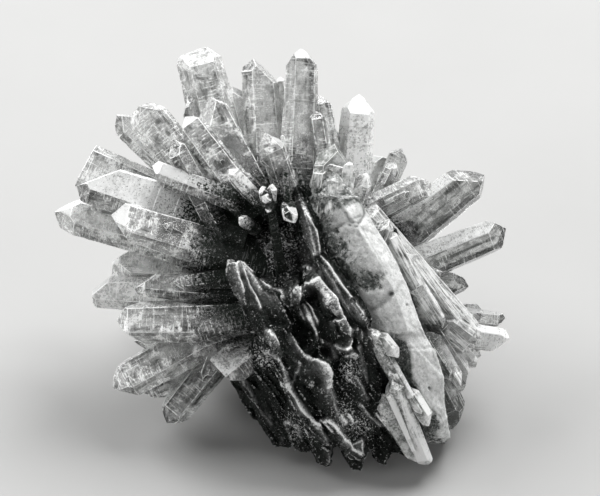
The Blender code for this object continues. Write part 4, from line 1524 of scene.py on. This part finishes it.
class Recipe:
    """A material's node tree, written as a chain of short calls."""

    def __init__(self, name):
        self.material = bpy.data.materials.new(name)
        self.material.use_nodes = True
        self.tree = self.material.node_tree
        self.shader = self.tree.nodes["Principled BSDF"]

    def node(self, kind, output, sockets, **settings):
        """A new node's output. Its sockets are set to numbers or linked to fields."""
        made = self.tree.nodes.new("ShaderNode" + kind)
        for key, value in settings.items():
            setattr(made, key, value)
        for key, value in sockets.items():
            self.put(made, key, value)
        return Field(self, made.outputs[output])

    def put(self, node, key, value):
        socket = node.inputs[key]
        if isinstance(value, Field):
            self.tree.links.new(value.socket, socket)
        else:
            socket.default_value = value

    def set(self, **sockets):
        """Sets the shader's own sockets."""
        for key, value in sockets.items():
            self.put(self.shader, key.replace("_", " "), value)

    def math(self, operation, first, second):
        return self.node("Math", 0, {0: first, 1: second}, operation=operation)

    def attributes(self, *names):
        return [self.node("Attribute", "Fac", {}, attribute_name=name) for name in names]

    def places(self):
        """The places on the object in millimetres."""
        sockets = {"Vector": self.node("TexCoord", "Object", {}), "Scale": (MM, MM, MM)}
        return self.node("Mapping", 0, sockets, vector_type="TEXTURE")

    def local(self, across, along):
        """A crystal's own coordinates in millimetres, scaled across it and along it."""
        place = self.node("Attribute", "Vector", {}, attribute_name="local")
        scale = (across, across, along)
        return self.node("VectorMath", 0, {0: place, 1: scale}, operation="MULTIPLY")

    def noise(self, scale, detail=3.0, roughness=0.55, vector=None, distortion=0.0):
        """Cloudy noise from 0 to 1, with this many waves to the millimetre."""
        sockets = {"Vector": vector or self.places(), "Scale": scale, "Detail": detail}
        sockets |= {"Roughness": roughness, "Distortion": distortion}
        return self.node("TexNoise", "Fac", sockets)

    def mix(self, share, first, second):
        sockets = {"Factor": share, "A": first, "B": second}
        return self.node("Mix", "Result", sockets, data_type="RGBA")

    def bump(self, height, strength, distance):
        sockets = {"Height": height, "Strength": strength, "Distance": distance * MM}
        return self.node("Bump", "Normal", sockets)


def quartz_material():
    """Clear quartz: milky clouds, bright worn edges, fine lines across, dark roots with painted
    glints, white faces of painted top light, and patches of painted shade inside.
    """
    made = Recipe("clear_quartz")
    milk, worn, dusk, painted_top_light, share = made.attributes("milk", "worn", "dusk", "painted_top_light", "share")
    wisp = made.noise(1.3, 5.0, 0.75, distortion=1.0).span(0.52, 0.7)
    lines = made.noise(1.0, 3.0, 0.75, vector=made.local(0.25, 2.6))
    streaks = made.noise(1.0, 4.0, 0.65, vector=made.local(0.9, 0.07))
    scratch = lines.span(0.53, 0.62) * made.noise(0.22).span(0.36, 0.54)
    fine = made.noise(1.7, 4.0, 0.75)

    # how white and opaque it is, painted top light included
    cloud = made.noise(0.32, 5.0, 0.65, distortion=0.6).span(0.42, 0.68)
    body = (cloud * 0.6 + milk * 0.8 - 0.3).most(0.0) + wisp * 0.2 + scratch * 0.5
    body = body + streaks.span(0.56, 0.66, 0.0, 0.3) + painted_top_light * 0.85
    tip = share.span(0.7, 0.95, 0.0, 0.16)
    body = body + tip * milk.span(0.25, 0.5)
    edge = worn * made.noise(0.8, 2.0).span(0.35, 0.65, 0.15, 0.95)
    body = (body * fine.span(0.34, 0.56, 0.45, 1.0) + edge).clamped()

    # dark pits, and the dark dust near the heart with painted glints on it
    snow = milk.span(0.5, 1.0, 0.0, 0.4) * share.span(0.4, 0.6)
    threshold = 0.76 - dusk * 0.47 + snow - painted_top_light * 0.15
    speck = (fine - threshold).span(0.0, 0.05)
    # painted glints: white specks and scratch lines that stand for glitter
    painted_glint = made.noise(2.0, 4.0, 0.8).span(0.62, 0.66).most(scratch * 0.2)
    dark = made.mix(made.noise(0.8, 2.0), DUST_BLACK, DUST_DARK)
    dark = made.mix(painted_glint * 0.7, dark, PAINTED_GLINT)

    # painted shade: dark patches deep inside that stand for dark surroundings seen through the
    # quartz, away from the points, the edges and the white faces
    painted_shade = made.noise(0.4, 4.0, 0.65, distortion=0.5) - milk * 0.15
    painted_shade = painted_shade.span(0.45, 0.58, 0.0, 0.75) * fine.span(0.36, 0.56, 0.45, 1.0) * (1.0 - tip)
    painted_shade = painted_shade * painted_top_light.most(edge).span(0.1, 0.6, 1.0, 0.0)

    clear = made.mix(streaks.span(0.4, 0.52), CLEAR_DARK, CLEAR_PALE)
    clear = made.mix(body.span(0.08, 0.55), clear, MILK_WHITE)
    clear = made.mix(painted_shade, clear, PAINTED_SHADE_COLOUR)
    # painted top light: a painted highlight, grey to white, on the faces that look up the show side
    top_lit_colour = made.mix(wisp.span(0.0, 1.0), TOP_LIGHT_GREY, TOP_LIGHT_PALE)
    top_lit_colour = made.mix(painted_top_light.span(0.95, 1.4), top_lit_colour, TOP_LIGHT_WHITE)
    clear = made.mix(painted_top_light.span(0.15, 0.6), clear, top_lit_colour)
    made.set(Base_Color=made.mix(speck, clear, dark))
    made.set(Transmission_Weight=(1.0 - body.most(speck).most(painted_shade * 0.6)).clamped())
    made.set(Roughness=body.span(0.0, 1.0, 0.02, 0.4) + wisp * 0.08)
    made.set(IOR=QUARTZ_IOR, Specular_IOR_Level=speck.span(0.0, 1.0, 0.5, 0.08))
    made.set(Normal=made.bump(lines + made.noise(0.9) * 0.6, 0.5, 0.11))
    absorbed = made.node("VolumeAbsorption", 0, {"Color": ABSORBED, "Density": ABSORPTION})
    made.put(made.tree.nodes["Material Output"], "Volume", absorbed)
    return made.material


def chlorite_material():
    """Chlorite-filled quartz: near black and glossy, with frosted crests and painted glints,
    thicker where tiny crystals glitter.
    """
    made = Recipe("chlorite_quartz")
    crest, frost, druse_glitter = made.attributes("crest", "frost", "druse_glitter")
    mottle = made.noise(0.5, 5.0, 0.65)
    fine = made.noise(1.8, 4.0, 0.7)
    sparkle = made.noise(2.2, 4.0, 0.8)
    dust = (fine + crest * 0.2 - 0.66).span(0.0, 0.05, 0.0, 0.45)
    grey = crest.span(0.55, 1.1, 0.0, 0.18) * mottle.span(0.3, 0.6)
    grains = (frost + (sparkle - 0.5) * 1.7).span(0.3, 0.85)
    veil = frost * fine.span(0.34, 0.52, 0.12, 0.55)
    # painted glints: white specks that stand for glitter, more of them where tiny crystals are
    painted_glints = (sparkle + druse_glitter).span(0.65, 0.68, 0.0, 0.7)
    white = grains.most(veil).most(grey + dust).most(painted_glints)
    dark = made.mix(mottle.span(0.35, 0.7), CHLORITE_BLACK, CHLORITE_DARK)
    made.set(Base_Color=made.mix(white, dark, made.mix(fine, FROST_GREY, FROST_WHITE)))
    made.set(Roughness=made.noise(1.3, 4.0).span(0.35, 0.65, 0.05, 0.22))
    made.set(IOR=CHLORITE_IOR, Specular_IOR_Level=0.12)
    made.set(Normal=made.bump(fine + made.noise(6.0, 3.0, 0.8), 0.6, 0.12))
    return made.material


def rib_material():
    """Greyish milky ribs with fine lines along them, dark and glinting beside the trunk."""
    made = Recipe("ribbed_quartz")
    worn, pale = made.attributes("worn", "pale")
    lines = made.noise(1.0, 4.0, 0.75, vector=made.local(2.0, 0.12))
    cloud = made.noise(0.5, 4.0, 0.6)
    white = lines.span(0.38, 0.6, 0.0, 0.75) + worn * 0.5 + (cloud - 0.5) * 1.2
    white = (white + pale.span(0.0, 1.0, -0.45, 0.3)).clamped()
    speck = (made.noise(2.4, 5.0, 0.8) - pale.span(0.0, 1.0, 0.52, 0.7)).span(0.0, 0.05)
    body = made.mix(white, RIB_DARK, RIB_WHITE)
    made.set(Base_Color=made.mix(speck, body, RIB_SPECK), IOR=QUARTZ_IOR)
    made.set(Transmission_Weight=white.span(0.0, 1.0, 0.45, 0.05))
    made.set(Roughness=cloud.span(0.3, 0.7, 0.12, 0.35))
    made.set(Normal=made.bump(lines, 0.7, 0.15))
    return made.material


def milky_material():
    """Milky quartz: white and slightly see-through, cracked, murky in patches and darker towards
    its dark side, with painted shade on its far sides and its top.
    """
    made = Recipe("milky_quartz")
    murk_and_shade, crest, pit = made.attributes("murk_and_shade", "crest", "pit")
    cloud = made.noise(0.35, 5.0, 0.65)
    fine = made.noise(1.9, 3.0, 0.75)
    grey = (murk_and_shade + (cloud - 0.5) * 0.9 - crest * 0.2).span(0.05, 0.95)
    speck = (fine - (0.72 - grey * 0.25)).span(0.0, 0.06).most(pit)
    # the dark colour of the murky places and of the painted shade, with white grains painted in as
    # glints
    shaded = made.mix(made.noise(2.0, 3.0, 0.75).span(0.56, 0.62), TRUNK_MURK_SHADE, TRUNK_PAINTED_GLINT)
    chalk = made.mix(made.noise(0.9, 4.0, 0.75).span(0.4, 0.6), CHALK_GREY, CHALK_WHITE)
    made.set(Base_Color=made.mix(speck, made.mix(grey, chalk, shaded), TRUNK_SPECK))
    made.set(Roughness=fine.span(0.3, 0.7, 0.2, 0.5))
    made.set(IOR=QUARTZ_IOR, Transmission_Weight=0.15)
    made.set(Subsurface_Weight=0.3, Subsurface_Scale=SUBSURFACE_SCALE)
    made.set(Subsurface_Radius=(1.0, 1.0, 1.0))
    made.set(Normal=made.bump(fine + cloud, 0.45, 0.15))
    return made.material


def arrow_material():
    """Translucent white quartz with bright edges, fine lines along it and greyish hollows."""
    made = Recipe("arrow_quartz")
    milk, worn, share = made.attributes("milk", "worn", "share")
    cloud = made.noise(0.5, 5.0, 0.65)
    fine = made.noise(1.9, 3.0, 0.75)
    lines = made.noise(1.0, 4.0, 0.75, vector=made.local(1.8, 0.15))
    white = cloud.span(0.35, 0.6, -0.3, 0.4) + lines.span(0.4, 0.62, 0.0, 0.4)
    white = (white + milk + worn).clamped()
    speck = (fine - share.span(0.02, 0.24, 0.49, 0.66)).span(0.0, 0.06, 0.0, 0.7)
    body = made.mix(white, ARROW_GREY, ARROW_WHITE)
    made.set(Base_Color=made.mix(speck, body, ARROW_SPECK), IOR=QUARTZ_IOR)
    made.set(Transmission_Weight=white.span(0.0, 1.0, 0.55, 0.08))
    made.set(Roughness=fine.span(0.3, 0.7, 0.06, 0.3))
    made.set(Normal=made.bump(lines + cloud, 0.5, 0.15))
    return made.material


def speckled_material(name, scale, first, second, roughness):
    """A matt material of two colours: the flecks' and the floor's."""
    made = Recipe(name)
    made.set(Base_Color=made.mix(made.noise(scale), first, second), Roughness=roughness)
    return made.material


# --- putting the scene together ------------------------------------------------------------------

LIGHT_TARGET = (0, 0, 0.03)
LIGHTS = {  # place and size in metres, and power in watts
    "key": ((0.4, 0.6, 1.15), 0.9, 24.0),
    "top_left": ((-0.9, 0.5, 0.85), 0.9, 17.0),
    "fill": ((-1.2, -0.5, 0.45), 0.6, 4.5),
    "right": ((1.0, -0.35, 0.35), 0.6, 3.0),
}
WORLD_STRENGTH = 0.2
FLOOR_SIZE = 3.0  # from its middle to its edge, in metres
NEAREST_SEEN = 0.01


def add_piece(name, mesh, material, smooth=False):
    set_points(mesh, np.clip(mesh_parts(mesh)[0], *np.array(CAD_BOX)))
    mesh.name = name
    mesh.materials.clear()
    mesh.materials.append(material)
    if smooth:
        mesh.shade_smooth()
    else:
        mesh.shade_flat()
    piece = new_object(name, mesh)
    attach(piece, "root")
    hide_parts(NODE)


def add_floor():
    bm = bmesh.new()
    bmesh.ops.create_grid(bm, x_segments=1, y_segments=1, size=FLOOR_SIZE)
    mesh = mesh_from(bm, "floor")
    mesh.materials.append(speckled_material("pale_floor", 0.02, FLOOR_GREY, FLOOR_PALE, 0.75))
    new_object("floor", mesh)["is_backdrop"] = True


def aim(obj, place, backward):
    """Puts a lamp or the eye at a place, so that it looks away from backward."""
    obj.location = place
    obj.rotation_euler = backward.to_track_quat("Z", "Y").to_euler()


def add_lights():
    for name, (place, size, power) in LIGHTS.items():
        light = bpy.data.lights.new(name, "AREA")
        light.shape = "DISK"
        light.size = size
        light.energy = power
        aim(new_object(name, light), place, Vector(place) - Vector(LIGHT_TARGET))
    world = bpy.data.worlds.new("studio")
    world.use_nodes = True
    background = world.node_tree.nodes["Background"]
    background.inputs["Color"].default_value = (1, 1, 1, 1)
    background.inputs["Strength"].default_value = WORLD_STRENGTH
    bpy.context.scene.world = world


def add_camera():
    camera = bpy.data.cameras.new("camera")
    camera.sensor_width = SENSOR_WIDTH
    camera.lens = SENSOR_WIDTH * EYE_DISTANCE / FRAME_WIDTH
    camera.clip_start = NEAREST_SEEN
    eye = new_object("camera", camera)
    aim(eye, to_world((*FRAME_CENTRE, EYE_DISTANCE)), SHOW_AXES.col[2])
    bpy.context.scene.camera = eye


def build():
    chlorite = chlorite_material()
    flecks = speckled_material("chlorite_fleck", 0.8, FLECK_DARK, FLECK_GREEN, 0.35)
    add_piece("clear_crystals", make_clear_crystals(), quartz_material())
    add_piece("chlorite_heart", make_heart(), chlorite)
    add_piece("dark_blades", make_dark_blades(), chlorite)
    add_piece("milky_trunk", make_trunk(), milky_material(), smooth=True)
    add_piece("milky_ribs", make_ribs(), rib_material())
    add_piece("milky_arrow", make_arrow(), arrow_material())
    add_piece("chlorite_flecks", make_flecks(), flecks)
    add_floor()
    add_lights()
    add_camera()
    bpy.context.scene.view_settings.view_transform = "Standard"


build()
boxes = {"cad": CAD_BOX, "visual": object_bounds()}
{name: [list(corner) for corner in box] for name, box in boxes.items()}
